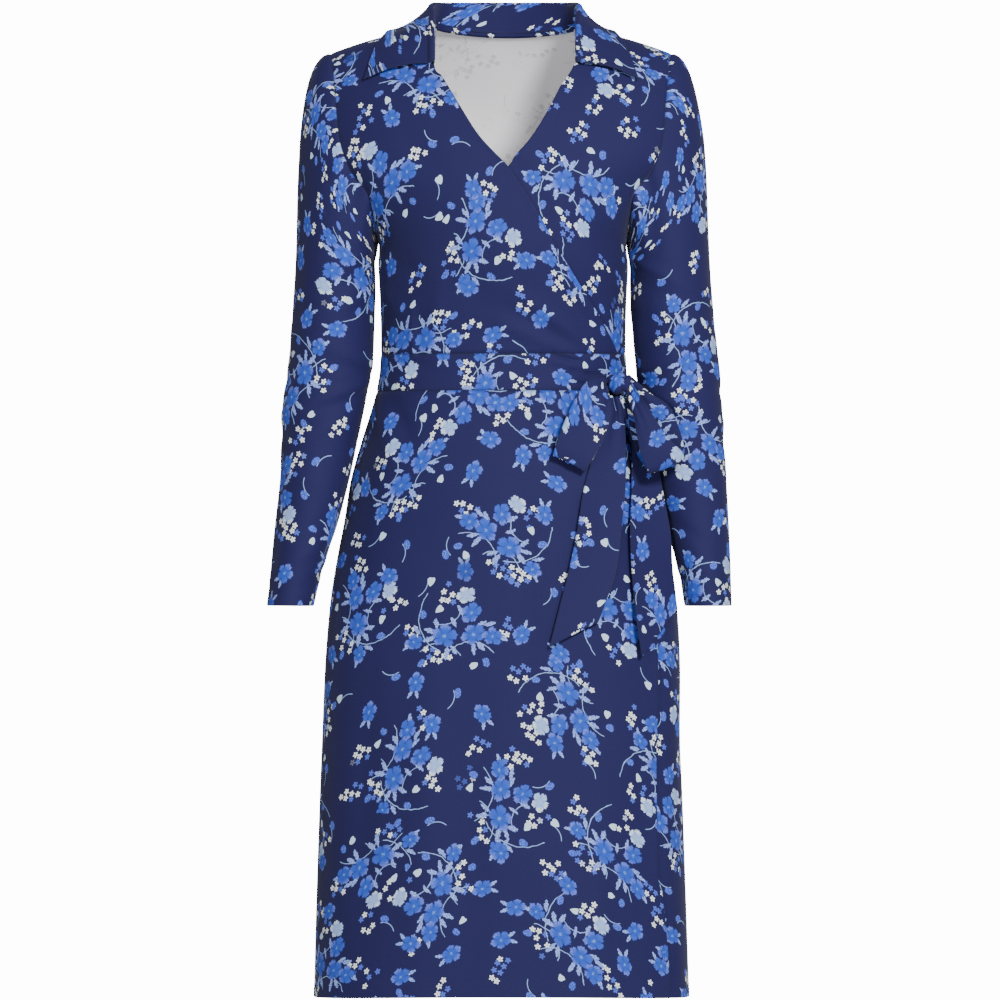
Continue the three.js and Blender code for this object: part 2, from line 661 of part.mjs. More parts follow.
// Collar: up the stand from the neck, over the fold and down the fall to its outer edge
function collar() {
  const left = COLLAR.map((row) => ({ ...row, hand: 1 }));
  const right = COLLAR.slice(0, -1).reverse().map((row) => ({ ...row, hand: -1 }));
  const rows = [...left, ...right];
  const sewn = new THREE.CatmullRomCurve3(rows.map((row) => {
    const x = NECK.middle + row.hand * row.sewX;
    const raise = new THREE.Vector3(0, 0, 1.8);
    const back = shoulderTurn(x);
    if (row.side < 0) return onBody(back, backTop(back), -1).point.add(raise);
    const front = locate({ x, z: row.sewZ });
    return onBody(front.x, front.y, 1, 1.3).point.add(raise);
  }));
  const folded = new THREE.CatmullRomCurve3(rows.map((row) =>
    new THREE.Vector3(NECK.middle + row.hand * row.foldX, row.foldY, row.foldZ),
  ));
  const edged = new THREE.CatmullRomCurve3(rows.map((row) =>
    new THREE.Vector3(row.hand * row.edgeX, row.edgeY, row.edgeZ),
  ));
  const steps = 30;
  const grid = [];
  for (let j = 0; j <= steps; j += 1) {
    const t = j / steps;
    const foot = sewn.getPoint(t);
    const fold = folded.getPoint(t);
    const rim = edged.getPoint(t);
    const out = rim.clone().sub(fold).setZ(0).normalize();
    const turnCentre = moved(fold, out, COLLAR_FOLD);
    turnCentre.z -= COLLAR_FOLD;
    const line = [foot, foot.clone().lerp(fold, 0.5)];
    for (const angle of [Math.PI, (2 * Math.PI) / 3, Math.PI / 3, 0]) {
      const spot = moved(turnCentre, out, COLLAR_FOLD * Math.cos(angle));
      spot.z += COLLAR_FOLD * Math.sin(angle);
      line.push(spot);
    }
    const start = line[line.length - 1];
    const bend = start.clone().lerp(rim, 0.5);
    bend.z += 1;
    const fall = new THREE.QuadraticBezierCurve3(start, bend, rim);
    for (const k of [0.25, 0.5, 0.75, 1]) line.push(fall.getPoint(k));
    grid.push(line);
  }
  return sheet("collar", COLOURS.print, grid);
}

// Strip that binds the back neck seam on the inside
function neckBinding() {
  const clear = WALL + 2 * SEAM;
  const outer = [];
  const inner = [];
  for (const depth of [BINDING.depth, 0.05]) {
    const outerRow = [];
    const innerRow = [];
    for (let i = 1; i < NECK_COLUMNS; i += 1) {
      const turn = lerp(neckTurn(-1), neckTurn(1), i / NECK_COLUMNS);
      const top = onBody(turn, backTop(turn), -1);
      const below = onBody(turn, lerp(UNDERARM_CLIMB, backTop(turn), 1 - 1 / ABOVE), -1);
      const point = top.point.clone().lerp(below.point, depth);
      const normal = top.normal.clone().lerp(below.normal, depth).normalize();
      outerRow.push(moved(point, normal, -clear));
      innerRow.push(moved(point, normal, -clear - BINDING.thickness));
    }
    outer.push(outerRow);
    inner.push(innerRow);
  }
  return wall("neck_binding", COLOURS.print, outer, inner);
}

// A strip of the tie through pairs of edge points, a little hollow across its breadth
function ribbon(name, rows, options) {
  const { steps, belly } = options;
  const side = (key) =>
    new THREE.CatmullRomCurve3(
      rows.map((row) => new THREE.Vector3(row[`${key}x`], row[`${key}y`], row[`${key}z`])),
    );
  const [a, b] = [side("a"), side("b")];
  const across = 4;
  const grid = [];
  for (let j = 0; j <= steps; j += 1) {
    const start = a.getPoint(j / steps);
    const end = b.getPoint(j / steps);
    const line = [];
    for (let i = 0; i <= across; i += 1) {
      line.push(start.clone().lerp(end, i / across));
    }
    grid.push(line);
  }
  const normals = gridNormals(grid, false);
  for (let j = 0; j <= steps; j += 1) {
    for (let i = 0; i <= across; i += 1) {
      const wave = Math.sin((Math.PI * i) / across) * Math.sin((Math.PI * j) / steps);
      grid[j][i].addScaledVector(normals[j][i], belly * wave);
    }
  }
  return sheet(name, COLOURS.print, grid);
}

function knot() {
  const geometry = new THREE.SphereGeometry(1, 16, 10);
  const spots = geometry.attributes.position;
  const box = (value) => Math.sign(value) * Math.abs(value) ** 0.7;
  for (let k = 0; k < spots.count; k += 1) {
    const x = KNOT.wide * box(spots.getX(k));
    const y = KNOT.deep * box(spots.getY(k));
    const z = KNOT.high * box(spots.getZ(k));
    spots.setXYZ(k, x, y, z);
  }
  const material = new THREE.MeshStandardMaterial({ color: COLOURS.print, roughness: 0.8 });
  const mesh = new THREE.Mesh(geometry, material);
  mesh.position.set(KNOT.x, KNOT.y, KNOT.z);
  mesh.name = "bow_knot";
  return mesh;
}

whole.add(
  waistBand(),
  sleeve("sleeve_right", -1),
  sleeve("sleeve_left", 1),
  collar(),
  neckBinding(),
  knot(),
  ribbon("bow_loop_front", LOOP_FRONT, { steps: 24, belly: 1.5 }),
  ribbon("bow_loop_side", LOOP_SIDE, { steps: 24, belly: 1.5 }),
  ribbon("tie_tail_front", TAIL_FRONT, { steps: 14, belly: 1 }),
  ribbon("tie_tail_side", TAIL_SIDE, { steps: 14, belly: 1 }),
);

export default whole;
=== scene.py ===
"""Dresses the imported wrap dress: printed jersey on its worn form, sewn edges, collar and tied bow.

The tables are in millimetres in the dress's own frame: +Z up, the front faces -Y, +X is the
wearer's left, and the origin is the middle of the neck at the level of the shoulder seams.
"""

import math

import bpy
import numpy as np
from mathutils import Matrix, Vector


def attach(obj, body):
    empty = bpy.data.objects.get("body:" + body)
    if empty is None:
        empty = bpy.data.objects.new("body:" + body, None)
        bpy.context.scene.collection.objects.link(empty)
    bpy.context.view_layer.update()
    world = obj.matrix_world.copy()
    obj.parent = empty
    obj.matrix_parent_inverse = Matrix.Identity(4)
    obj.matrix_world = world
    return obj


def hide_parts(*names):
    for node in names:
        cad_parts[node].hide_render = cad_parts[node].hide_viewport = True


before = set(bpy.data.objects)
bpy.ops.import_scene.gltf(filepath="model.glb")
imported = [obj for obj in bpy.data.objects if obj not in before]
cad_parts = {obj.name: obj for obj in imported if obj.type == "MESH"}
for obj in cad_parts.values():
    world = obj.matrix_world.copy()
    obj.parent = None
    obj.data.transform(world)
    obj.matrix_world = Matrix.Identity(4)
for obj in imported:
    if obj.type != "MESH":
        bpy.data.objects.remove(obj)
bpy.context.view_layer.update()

bl_info = {
    "name": "Wrap dress",
    "version": (1, 0, 0),
    "blender": (4, 5, 0),
    "location": "View3D > Sidebar > Dress",
    "description": "Builds a wrap dress in printed jersey on its worn form",
    "category": "Add Mesh",
}

MM = 0.001
BODY = "root"

# Levels of the dress, and how the cloth turns over the shoulder
HEM = -1008
HEM_SIDES = 5
BAND_BOTTOM = -372
BAND_TOP = -334
UNDERARM = -212
RIDGE_TOP = 20.2
RIDGE_CURVE = 0.00106
SPREAD = 200
DROP = 120
FULLNESS = 0.85
SHOULDER_POINT = 181
NECK_MIDDLE = 4.5
NECK_HALF = 76
NECK_DIP = 6
QUARTER = math.pi / 2
TOP_CLIMB = DROP * QUARTER

# Half width, how far its middle stands to the wearer's left, and depth before and behind
# the side seam, at each level of the body
SECTIONS = (
    {"z": -1008, "half": 198.8, "shift": 0.6, "front": 118, "back": 119},
    {"z": -912, "half": 196, "shift": 0.3, "front": 117, "back": 118},
    {"z": -806, "half": 192.4, "shift": 0.2, "front": 115, "back": 118},
    {"z": -742, "half": 189.8, "shift": 0.1, "front": 114, "back": 118},
    {"z": -657, "half": 188, "shift": 1.9, "front": 112, "back": 119},
    {"z": -594, "half": 183.4, "shift": 2.7, "front": 110, "back": 120},
    {"z": -551, "half": 177, "shift": 3, "front": 108, "back": 120},
    {"z": -509, "half": 168.5, "shift": 2.6, "front": 106, "back": 117},
    {"z": -466, "half": 160.6, "shift": 1.6, "front": 103, "back": 110},
    {"z": -424, "half": 148.6, "shift": 1.4, "front": 99, "back": 97},
    {"z": -382, "half": 135.6, "shift": 1.4, "front": 93, "back": 82},
    {"z": -353, "half": 130.5, "shift": 2.4, "front": 91, "back": 76},
    {"z": -318, "half": 129.6, "shift": 2.5, "front": 93, "back": 76},
    {"z": -276, "half": 130.6, "shift": 2.5, "front": 103, "back": 82},
    {"z": -240, "half": 132.4, "shift": 2.4, "front": 113, "back": 87},
    {"z": -212, "half": 132, "shift": 1.5, "front": 118, "back": 91},
    {"z": -170, "half": 152, "shift": 0, "front": 118, "back": 96},
    {"z": -127, "half": 190, "shift": 0, "front": 111, "back": 98},
    {"z": -74, "half": 197, "shift": 0, "front": 97, "back": 94},
    {"z": 0, "half": 200, "shift": 0, "front": 82, "back": 80},
    {"z": 60, "half": 200, "shift": 0, "front": 78, "back": 78},
)

# Armholes from the underarm to the shoulder point, and the free edges of the wrapped pieces
ARMHOLE_FRONT = ((137, -170), (154, -148), (165, -127), (174, -74))
ARMHOLE_BACK = ((143, -178), (163, -152), (173, -127), (178, -74))
NECKLINE_OVER = (
    (-71, -26),
    (-61.5, -42.5),
    (-43.9, -72.6),
    (-25.2, -102.7),
    (-9, -121.3),
    (7.1, -138),
    (25, -164),
    (47, -201),
    (75, -249),
    (105, -297),
    (124, -334),
)
NECKLINE_UNDER = (
    (79, -22),
    (62, -53.8),
    (47.5, -82),
    (30.7, -108.7),
    (13.8, -128),
    (7.1, -138),
    (-25, -175),
    (-47, -210),
    (-75, -254),
    (-105, -299),
    (-121, -334),
)
SKIRT_EDGE = (
    (118, -372),
    (148, -466),
    (163, -594),
    (165, -689),
    (165, -869),
    (171, -907),
    (177, -975),
    (177, -1008),
)

FOLD_STRENGTH = 1.3

# Folds of the front: ends, half breadth and height, a trough where the height is below 0
FRONT_FOLDS = (
    {"x0": -92, "z0": -288, "x1": -92, "z1": -336, "breadth": 4, "height": 2.2},
    {"x0": -85, "z0": -292, "x1": -86, "z1": -336, "breadth": 3, "height": -1.4},
    {"x0": -64, "z0": -262, "x1": -70, "z1": -330, "breadth": 10, "height": 1.8},
    {"x0": 12, "z0": -266, "x1": 100, "z1": -330, "breadth": 8, "height": 2.6},
    {"x0": 0, "z0": -284, "x1": 92, "z1": -334, "breadth": 6, "height": -1.6},
    {"x0": -20, "z0": -296, "x1": 80, "z1": -334, "breadth": 7, "height": 2},
    {"x0": 40, "z0": -244, "x1": 110, "z1": -312, "breadth": 9, "height": -1.4},
    {"x0": 62, "z0": -250, "x1": 116, "z1": -318, "breadth": 7, "height": 1.8},
    {"x0": -120, "z0": -226, "x1": -78, "z1": -262, "breadth": 11, "height": -1.8},
    {"x0": -128, "z0": -262, "x1": -96, "z1": -300, "breadth": 9, "height": 1.4},
    {"x0": -142, "z0": -150, "x1": -112, "z1": -196, "breadth": 11, "height": 2},
    {"x0": 142, "z0": -150, "x1": 112, "z1": -200, "breadth": 11, "height": 2},
    {"x0": 104, "z0": -196, "x1": 124, "z1": -250, "breadth": 9, "height": -1.6},
    {"x0": -40, "z0": -240, "x1": -10, "z1": -300, "breadth": 16, "height": -1.2},
    {"x0": 47, "z0": -347, "x1": 108, "z1": -360, "breadth": 1.9, "height": -3.0},
    {"x0": 54, "z0": -353, "x1": 112, "z1": -366, "breadth": 3.0, "height": 2.2},
    {"x0": 52, "z0": -335, "x1": 84, "z1": -342, "breadth": 1.8, "height": -2.4},
    {"x0": -118, "z0": -340, "x1": -60, "z1": -352, "breadth": 5, "height": -0.9},
    {"x0": -132, "z0": -376, "x1": -112, "z1": -452, "breadth": 9, "height": 2.4},
    {"x0": -122, "z0": -374, "x1": -90, "z1": -430, "breadth": 7, "height": -1.8},
    {"x0": -136, "z0": -388, "x1": -158, "z1": -560, "breadth": 13, "height": -2},
    {"x0": 104, "z0": -378, "x1": 40, "z1": -420, "breadth": 7, "height": 1.8},
    {"x0": 108, "z0": -386, "x1": 64, "z1": -470, "breadth": 9, "height": -1.8},
    {"x0": 84, "z0": -400, "x1": 118, "z1": -660, "breadth": 15, "height": 2.4},
    {"x0": 20, "z0": -430, "x1": 34, "z1": -760, "breadth": 19, "height": -1.8},
    {"x0": -70, "z0": -600, "x1": -92, "z1": -1008, "breadth": 22, "height": 2.8},
    {"x0": -28, "z0": -720, "x1": -34, "z1": -1008, "breadth": 20, "height": -2},
    {"x0": 96, "z0": -760, "x1": 106, "z1": -1008, "breadth": 20, "height": 2.8},
    {"x0": 46, "z0": -800, "x1": 50, "z1": -1008, "breadth": 17, "height": 1.4},
    {"x0": -140, "z0": -640, "x1": -148, "z1": -980, "breadth": 15, "height": -1.8},
    {"x0": 146, "z0": -640, "x1": 150, "z1": -960, "breadth": 13, "height": -1.4},
    {"x0": -110, "z0": -96, "x1": -60, "z1": -150, "breadth": 14, "height": -1.1},
    {"x0": 100, "z0": -90, "x1": 60, "z1": -150, "breadth": 13, "height": -1.1},
)

# Folds of the back, in the same columns
BACK_FOLDS = (
    {"x0": -60, "z0": -300, "x1": 58, "z1": -318, "breadth": 10, "height": 2.4},
    {"x0": -96, "z0": -282, "x1": -20, "z1": -296, "breadth": 8, "height": -1.8},
    {"x0": 24, "z0": -276, "x1": 100, "z1": -268, "breadth": 9, "height": 1.8},
    {"x0": -112, "z0": -250, "x1": -70, "z1": -262, "breadth": 8, "height": 1.6},
    {"x0": -74, "z0": -338, "x1": 70, "z1": -332, "breadth": 8, "height": -1.5},
    {"x0": -146, "z0": -140, "x1": -104, "z1": -206, "breadth": 12, "height": 2.4},
    {"x0": 146, "z0": -140, "x1": 106, "z1": -212, "breadth": 11, "height": 2.4},
    {"x0": -118, "z0": -130, "x1": -92, "z1": -230, "breadth": 10, "height": -1.6},
    {"x0": 116, "z0": -134, "x1": 94, "z1": -226, "breadth": 11, "height": -1.6},
    {"x0": -60, "z0": -376, "x1": -84, "z1": -470, "breadth": 12, "height": 1.8},
    {"x0": 48, "z0": -376, "x1": 76, "z1": -480, "breadth": 11, "height": 1.6},
    {"x0": -4, "z0": -378, "x1": -10, "z1": -440, "breadth": 10, "height": -1.4},
    {"x0": 110, "z0": -380, "x1": 130, "z1": -450, "breadth": 9, "height": -1.6},
    {"x0": -84, "z0": -520, "x1": -104, "z1": -1008, "breadth": 24, "height": 3},
    {"x0": 12, "z0": -640, "x1": 4, "z1": -1008, "breadth": 24, "height": -2.4},
    {"x0": 92, "z0": -560, "x1": 112, "z1": -1008, "breadth": 22, "height": 2.8},
    {"x0": -40, "z0": -700, "x1": -46, "z1": -1008, "breadth": 17, "height": 1.6},
    {"x0": 52, "z0": -760, "x1": 58, "z1": -1008, "breadth": 16, "height": -1.6},
    {"x0": 150, "z0": -640, "x1": 156, "z1": -1000, "breadth": 15, "height": -1.8},
    {"x0": -146, "z0": -620, "x1": -154, "z1": -1000, "breadth": 15, "height": -1.8},
)

# Sleeves: centre out from the middle on each arm, half width, half depth, how far forward
SLEEVES = (
    {"z": -238, "right": 175.5, "left": 178.5, "half": 41.5, "deep": 56, "fore": 0},
    {"z": -276, "right": 177, "left": 181, "half": 42.8, "deep": 54, "fore": 1},
    {"z": -318, "right": 179, "left": 184.5, "half": 43.6, "deep": 51, "fore": 3},
    {"z": -350, "right": 181.5, "left": 188, "half": 43.9, "deep": 48, "fore": 6},
    {"z": -382, "right": 186.5, "left": 191, "half": 42.8, "deep": 46, "fore": 9},
    {"z": -424, "right": 191.5, "left": 196, "half": 39.2, "deep": 44, "fore": 14},
    {"z": -466, "right": 197, "left": 201.5, "half": 36, "deep": 42, "fore": 19},
    {"z": -509, "right": 204.6, "left": 207, "half": 32.8, "deep": 40, "fore": 24},
    {"z": -551, "right": 214, "left": 213.5, "half": 28, "deep": 38, "fore": 29},
    {"z": -599, "right": 222.6, "left": 218.6, "half": 23.8, "deep": 36, "fore": 33},
)
SLEEVE_HEAD = {1: -2, -1: 1}

# Folds round a sleeve: level and slope on the arm's own side, where round it (0 is the outer
# side, a quarter turn the front), how far they reach round, half breadth and height
SLEEVE_FOLDS = (
    {"z": -236, "slope": 0.55, "at": 2.2, "reach": 1.2, "breadth": 6, "height": 2},
    {"z": -262, "slope": 0.5, "at": 2.0, "reach": 1.4, "breadth": 8, "height": -1.6},
    {"z": -292, "slope": 0.42, "at": 1.6, "reach": 1.1, "breadth": 9, "height": 1.4},
    {"z": -336, "slope": -0.35, "at": 1.9, "reach": 1.2, "breadth": 8, "height": 2},
    {"z": -356, "slope": -0.2, "at": 2.4, "reach": 1.0, "breadth": 6, "height": -1.8},
    {"z": -376, "slope": 0.3, "at": 2.2, "reach": 1.3, "breadth": 7, "height": 2.2},
    {"z": -396, "slope": 0.42, "at": 1.7, "reach": 1.2, "breadth": 7, "height": -1.8},
    {"z": -420, "slope": 0.35, "at": 1.4, "reach": 1.3, "breadth": 9, "height": 1.6},
    {"z": -366, "slope": 0.2, "at": 0.2, "reach": 0.9, "breadth": 7, "height": -1.4},
    {"z": -404, "slope": 0.15, "at": 0.1, "reach": 1.0, "breadth": 8, "height": 1.2},
    {"z": -470, "slope": -0.4, "at": 1.2, "reach": 1.1, "breadth": 10, "height": 1.2},
    {"z": -520, "slope": 0.5, "at": 1.8, "reach": 1.0, "breadth": 8, "height": -1.2},
    {"z": -556, "slope": 0.4, "at": 1.5, "reach": 1.2, "breadth": 7, "height": 1.2},
    {"z": -574, "slope": 0.3, "at": 2.6, "reach": 1.2, "breadth": 6, "height": -1},
    {"z": -300, "slope": -0.4, "at": -1.8, "reach": 1.2, "breadth": 9, "height": 1.8},
    {"z": -350, "slope": 0.3, "at": -1.6, "reach": 1.3, "breadth": 10, "height": -1.6},
    {"z": -430, "slope": -0.2, "at": -1.7, "reach": 1.2, "breadth": 9, "height": 1.6},
    {"z": -540, "slope": 0.3, "at": -1.9, "reach": 1.2, "breadth": 8, "height": 1.2},
    {"z": -150, "slope": 0.9, "at": 1.5, "reach": 0.8, "breadth": 10, "height": 1.6},
    {"z": -150, "slope": 0.8, "at": -1.5, "reach": 0.8, "breadth": 11, "height": 1.8},
)

# Collar, from its front end to the middle of the back: where it is sewn on (a front level, or
# None along the back seam) and its fold, both out from the middle of the neck, then its edge,
# and how far the fall's middle bends up from a straight line to the edge
COLLAR = (
    {"sew": (74.5, -24), "fold": (75, -66, -25), "edge": (144, -55, -45), "arch": 9},
    {"sew": (74.5, -8), "fold": (75, -44, 10), "edge": (134, -34, -14), "arch": 3},
    {"sew": (74.5, 5), "fold": (75.3, -25, 27), "edge": (124, -16, 2.8), "arch": -5},
    {"sew": (74.5, None), "fold": (75.5, -4, 38), "edge": (115, 4, 7.6), "arch": -9},
    {"sew": (54, None), "fold": (60, 36, 41), "edge": (95, 58, -12), "arch": -4},
    {"sew": (0, None), "fold": (0, 52, 42), "edge": (0, 77, -26), "arch": 1},
)
COLLAR_TURN = 2.4

# Knot of the tie, then its loops and tails from the knot out: one edge, then the other
KNOT = {"centre": (124.5, -63, -365), "half": (11.5, 11, 11.5)}

# Folds of the knot: place across it, slant, half breadth and height
KNOT_FOLDS = ((-7.5, 2.5, 2.2, -1.8), (0.5, -3, 2, -1.5), (7, 2, 2.4, -1.9), (-3.5, 1, 2.6, 0.8))
LOOP_FRONT = (
    ((111.3, -66, -357), (111.2, -67, -375)),
    ((97, -84, -358), (115, -78, -383)),
    ((84, -96, -371), (115, -86, -398)),
    ((70, -105, -398), (109, -94, -418)),
    ((58, -110, -430), (97, -101, -442)),
    ((54.5, -107, -441), (87, -100, -457)),
    ((58, -103, -432), (97, -95, -443)),
    ((71, -98, -403), (108, -86, -419)),
    ((85, -88, -380), (113, -78, -399)),
    ((103, -72, -362), (113, -71, -382)),
    ((111.3, -59.8, -359), (111.2, -60.2, -373)),
)
LOOP_SIDE = (
    ((134, -62, -358), (132, -63, -375)),
    ((143, -71, -373), (135, -72, -387)),
    ((153, -80, -389), (140, -81, -401)),
    ((165, -86, -408), (143, -87, -419)),
    ((179, -89, -426), (147, -90, -438)),
    ((190, -86, -437), (153, -89, -453)),
    ((192.5, -81, -444), (155.5, -84, -459)),
    ((193, -75, -438), (152, -78, -453)),
    ((189, -70, -419), (143, -73, -438)),
    ((177, -67, -390), (137, -69, -416)),
    ((157, -63, -375), (134, -64, -397)),
    ((134, -55, -355), (132, -56, -378)),
)
TAIL_FRONT = (
    ((112.5, -63, -378.2), (123.5, -60, -378.2)),
    ((112, -67, -396), (129, -62, -399)),
    ((102, -81, -424), (131, -68, -424)),
    ((87, -97, -477), (130, -80, -477)),
    ((80, -103, -519), (126, -87, -519)),
    ((71, -108, -562), (120, -94, -562)),
    ((60, -112, -606), (108, -102, -598)),
    ((51, -115, -641), (102, -105, -615)),
)
TAIL_SIDE = (
    ((124.5, -59, -378.2), (137.5, -54, -378.2)),
    ((128.5, -60, -396), (150, -52, -397)),
    ((137.5, -58, -424), (162, -46, -424)),
    ((137.5, -67, -469), (169, -49, -469)),
    ((136, -80, -519), (178, -53, -519)),
    ((138, -85, -562), (180, -52, -556)),
    ((142, -88, -612), (183, -52, -584)),
    ((148, -85, -652), (186, -52, -602)),
)

# View and stage, in metres
VIEW_DISTANCE = 9.0
VIEW_WIDTH = 1.06
VIEW_AIM = (-0.001, 0.0, -0.4876)
SENSOR = 36.0
FLOOR_LEVEL = -1.5
FLOOR_RADIUS = 7.0
AMBIENT = 0.3
BACKDROP = 14.0

# Lights: place, size in metres and power in watts
LIGHTS = (
    ("key_light", (2.1, -5.2, 2.3), 1.3, 460),
    ("fill_light", (-2.4, -5.4, 0.2), 2.4, 80),
)


def srgb(red, green, blue):
    """Linear colour of a screen colour given in steps of 0 to 255."""

    def linear(step):
        value = step / 255
        return value / 12.92 if value <= 0.04045 else ((value + 0.055) / 1.055) ** 2.4

    return linear(red), linear(green), linear(blue), 1.0


def settings():
    return bpy.context.scene.wrap_dress


def size(name):
    """One of the sizes that a user may change, in millimetres."""
    return getattr(settings(), name) / MM


# Geometry of the worn form


def smoothstep(value, low, high):
    t = np.clip((np.asarray(value, float) - low) / (high - low), 0, 1)
    return t * t * (3 - 2 * t)


def read(table, column, level):
    """A value at a level, along a smooth curve through a table's rows."""
    rows = sorted(table, key=lambda row: row["z"])
    levels = np.array([row["z"] for row in rows], float)
    values = np.array([row[column] for row in rows], float)
    slopes = np.empty(len(rows))
    slopes[1:-1] = (values[2:] - values[:-2]) / (levels[2:] - levels[:-2])
    slopes[0] = (values[1] - values[0]) / (levels[1] - levels[0])
    slopes[-1] = (values[-1] - values[-2]) / (levels[-1] - levels[-2])
    z = np.clip(level, levels[0], levels[-1])
    k = np.clip(np.searchsorted(levels, z) - 1, 0, len(rows) - 2)
    span = levels[k + 1] - levels[k]
    t = (z - levels[k]) / span
    rise = t * t * (3 - 2 * t)
    lead = t * (1 - t) ** 2 * span * slopes[k]
    trail = t * t * (1 - t) * span * slopes[k + 1]
    return values[k] + (values[k + 1] - values[k]) * rise + lead - trail


def smooth_curve(points, count):
    """Points spread along a smooth curve through the given ones."""
    points = np.asarray(points, float)
    held = np.vstack([2 * points[0] - points[1], points, 2 * points[-1] - points[-2]])
    spots = np.linspace(0, len(points) - 1, count)
    k = np.minimum(spots.astype(int), len(points) - 2)
    t = (spots - k)[:, None]
    a, b, c, d = held[k], held[k + 1], held[k + 2], held[k + 3]
    bend = 2 * a - 5 * b + 4 * c - d
    twist = 3 * b - 3 * c + d - a
    return 0.5 * (2 * b + (c - a) * t + bend * t**2 + twist * t**3)


def ridge(x):
    return RIDGE_TOP - RIDGE_CURVE * x * x


def yoke(turn):
    return ridge(SPREAD * np.sin(turn)) - DROP


UNDERARM_CLIMB = float(UNDERARM - yoke(QUARTER))


def climb_to(turn, z):
    """Height along the cloth of a level, where the cloth turns over the shoulder."""
    above = z - yoke(turn)
    over = DROP * np.arcsin(np.clip(above / DROP, 0, 1))
    return np.where(above < 0, above, over)


def body_point(turn, climb, side):
    over = np.maximum(climb, 0) / DROP
    z = yoke(turn) + np.minimum(climb, 0) + DROP * np.sin(over)
    across = np.cos(turn)
    depth = read(SECTIONS, "front" if side > 0 else "back", z) * np.cos(over)
    out = depth * np.sign(across) * np.abs(across) ** FULLNESS
    x = read(SECTIONS, "shift", z) + read(SECTIONS, "half", z) * np.sin(turn)
    return np.stack([x, -side * out, z], axis=-1)


def unit(vectors):
    return vectors / np.maximum(np.linalg.norm(vectors, axis=-1, keepdims=True), 1e-9)


def body_normal(turn, climb, side):
    around = body_point(turn + 0.01, climb, side) - body_point(turn - 0.01, climb, side)
    up = body_point(turn, climb + 1, side) - body_point(turn, climb - 1, side)
    return unit(np.cross(around, up)) * side


def ripple(x, z, phase):
    """Slow uneven swell of soft cloth, from waves that don't repeat together."""
    waves = ((0.021, 0.013, 0.5), (-0.034, 0.019, 0.32), (0.047, 0.041, 0.2), (0.013, -0.052, 0.22))
    total = 0
    for k, (across, along, height) in enumerate(waves):
        total = total + height * np.sin(x * across + z * along + phase + 1.7 * k)
    return total


def body_folds(points, side):
    x, z = points[..., 0], points[..., 2]
    total = ripple(x, z, side)
    for fold in FRONT_FOLDS if side > 0 else BACK_FOLDS:
        run_x, run_z = fold["x1"] - fold["x0"], fold["z1"] - fold["z0"]
        from_x, from_z = x - fold["x0"], z - fold["z0"]
        along = np.clip((from_x * run_x + from_z * run_z) / (run_x**2 + run_z**2), 0, 1)
        away = np.hypot(from_x - run_x * along, from_z - run_z * along) / fold["breadth"]
        swell = 0.25 + 0.75 * np.sin(math.pi * along)
        total = total + FOLD_STRENGTH * fold["height"] * swell * np.exp(-away * away)
    return total * smoothstep(np.abs(points[..., 1]), 4, 30)


def locate(x, z):
    across = (x - read(SECTIONS, "shift", z)) / read(SECTIONS, "half", z)
    turn = np.arcsin(np.clip(across, -1, 1))
    return float(turn), float(climb_to(turn, z))


def border(points, extra=()):
    """The turn of an edge at a climb, from points on it as far out and level."""
    spots = sorted([locate(x, z) for x, z in points] + list(extra), key=lambda spot: spot[1])
    fine = smooth_curve(spots, 240)
    return lambda climb: np.interp(climb, fine[:, 1], fine[:, 0])


def yoke_turn(x):
    return math.asin(x / SPREAD)


ARM_ENDS = ((QUARTER, UNDERARM_CLIMB), (yoke_turn(SHOULDER_POINT), TOP_CLIMB))
ARMHOLE = {1: border(ARMHOLE_FRONT, ARM_ENDS), -1: border(ARMHOLE_BACK, ARM_ENDS)}
NECK_RIGHT = yoke_turn(NECK_MIDDLE - NECK_HALF)
NECK_LEFT = yoke_turn(NECK_MIDDLE + NECK_HALF)
OVER_EDGE = border(NECKLINE_OVER, [(NECK_RIGHT, TOP_CLIMB)])
UNDER_EDGE = border(NECKLINE_UNDER, [(NECK_LEFT, TOP_CLIMB)])
SKIRT_FREE = border(SKIRT_EDGE)


def side_edge(hand, side):
    """Side seam below the underarm and armhole above it."""
    return lambda climb: hand * np.where(climb <= UNDERARM_CLIMB, QUARTER, ARMHOLE[side](climb))


def back_top(turn):
    """The back neck is a shallow curve between the shoulder seams."""
    across = (SPREAD * np.sin(turn) - NECK_MIDDLE) / NECK_HALF
    right, left = ridge(NECK_MIDDLE - NECK_HALF), ridge(NECK_MIDDLE + NECK_HALF)
    level = right + (left - right) * (1 + across) / 2 - NECK_DIP * (1 - across**2)
    return np.where(np.abs(across) >= 1, TOP_CLIMB, climb_to(turn, level))


def bodice_rows(top, below=30, above=62):
    lower = [
        lambda turn, k=k: climb_to(turn, BAND_TOP) * (1 - k / below) + UNDERARM_CLIMB * k / below
        for k in range(below)
    ]
    upper = [
        lambda turn, k=k: UNDERARM_CLIMB + (top(turn) - UNDERARM_CLIMB) * k / above
        for k in range(above + 1)
    ]
    return lower + upper


def skirt_rows(count=116):
    levels = [HEM + d for d in HEM_ROWS] + list(np.linspace(HEM + 22, BAND_BOTTOM, count))
    falls = [HEM_SIDES * (BAND_BOTTOM - z) / (BAND_BOTTOM - HEM) for z in levels]
    return [
        lambda turn, z=z, fall=fall: climb_to(turn, z - fall * np.sin(turn) ** 2)
        for z, fall in zip(levels, falls)
    ]


def spread_columns(width, count):
    """Distances across a width, closer together near both edges."""
    near = np.array(EDGE_NEAR)
    inner = np.linspace(12, width - 12, count)
    return np.concatenate([near, inner, width - near[::-1]])


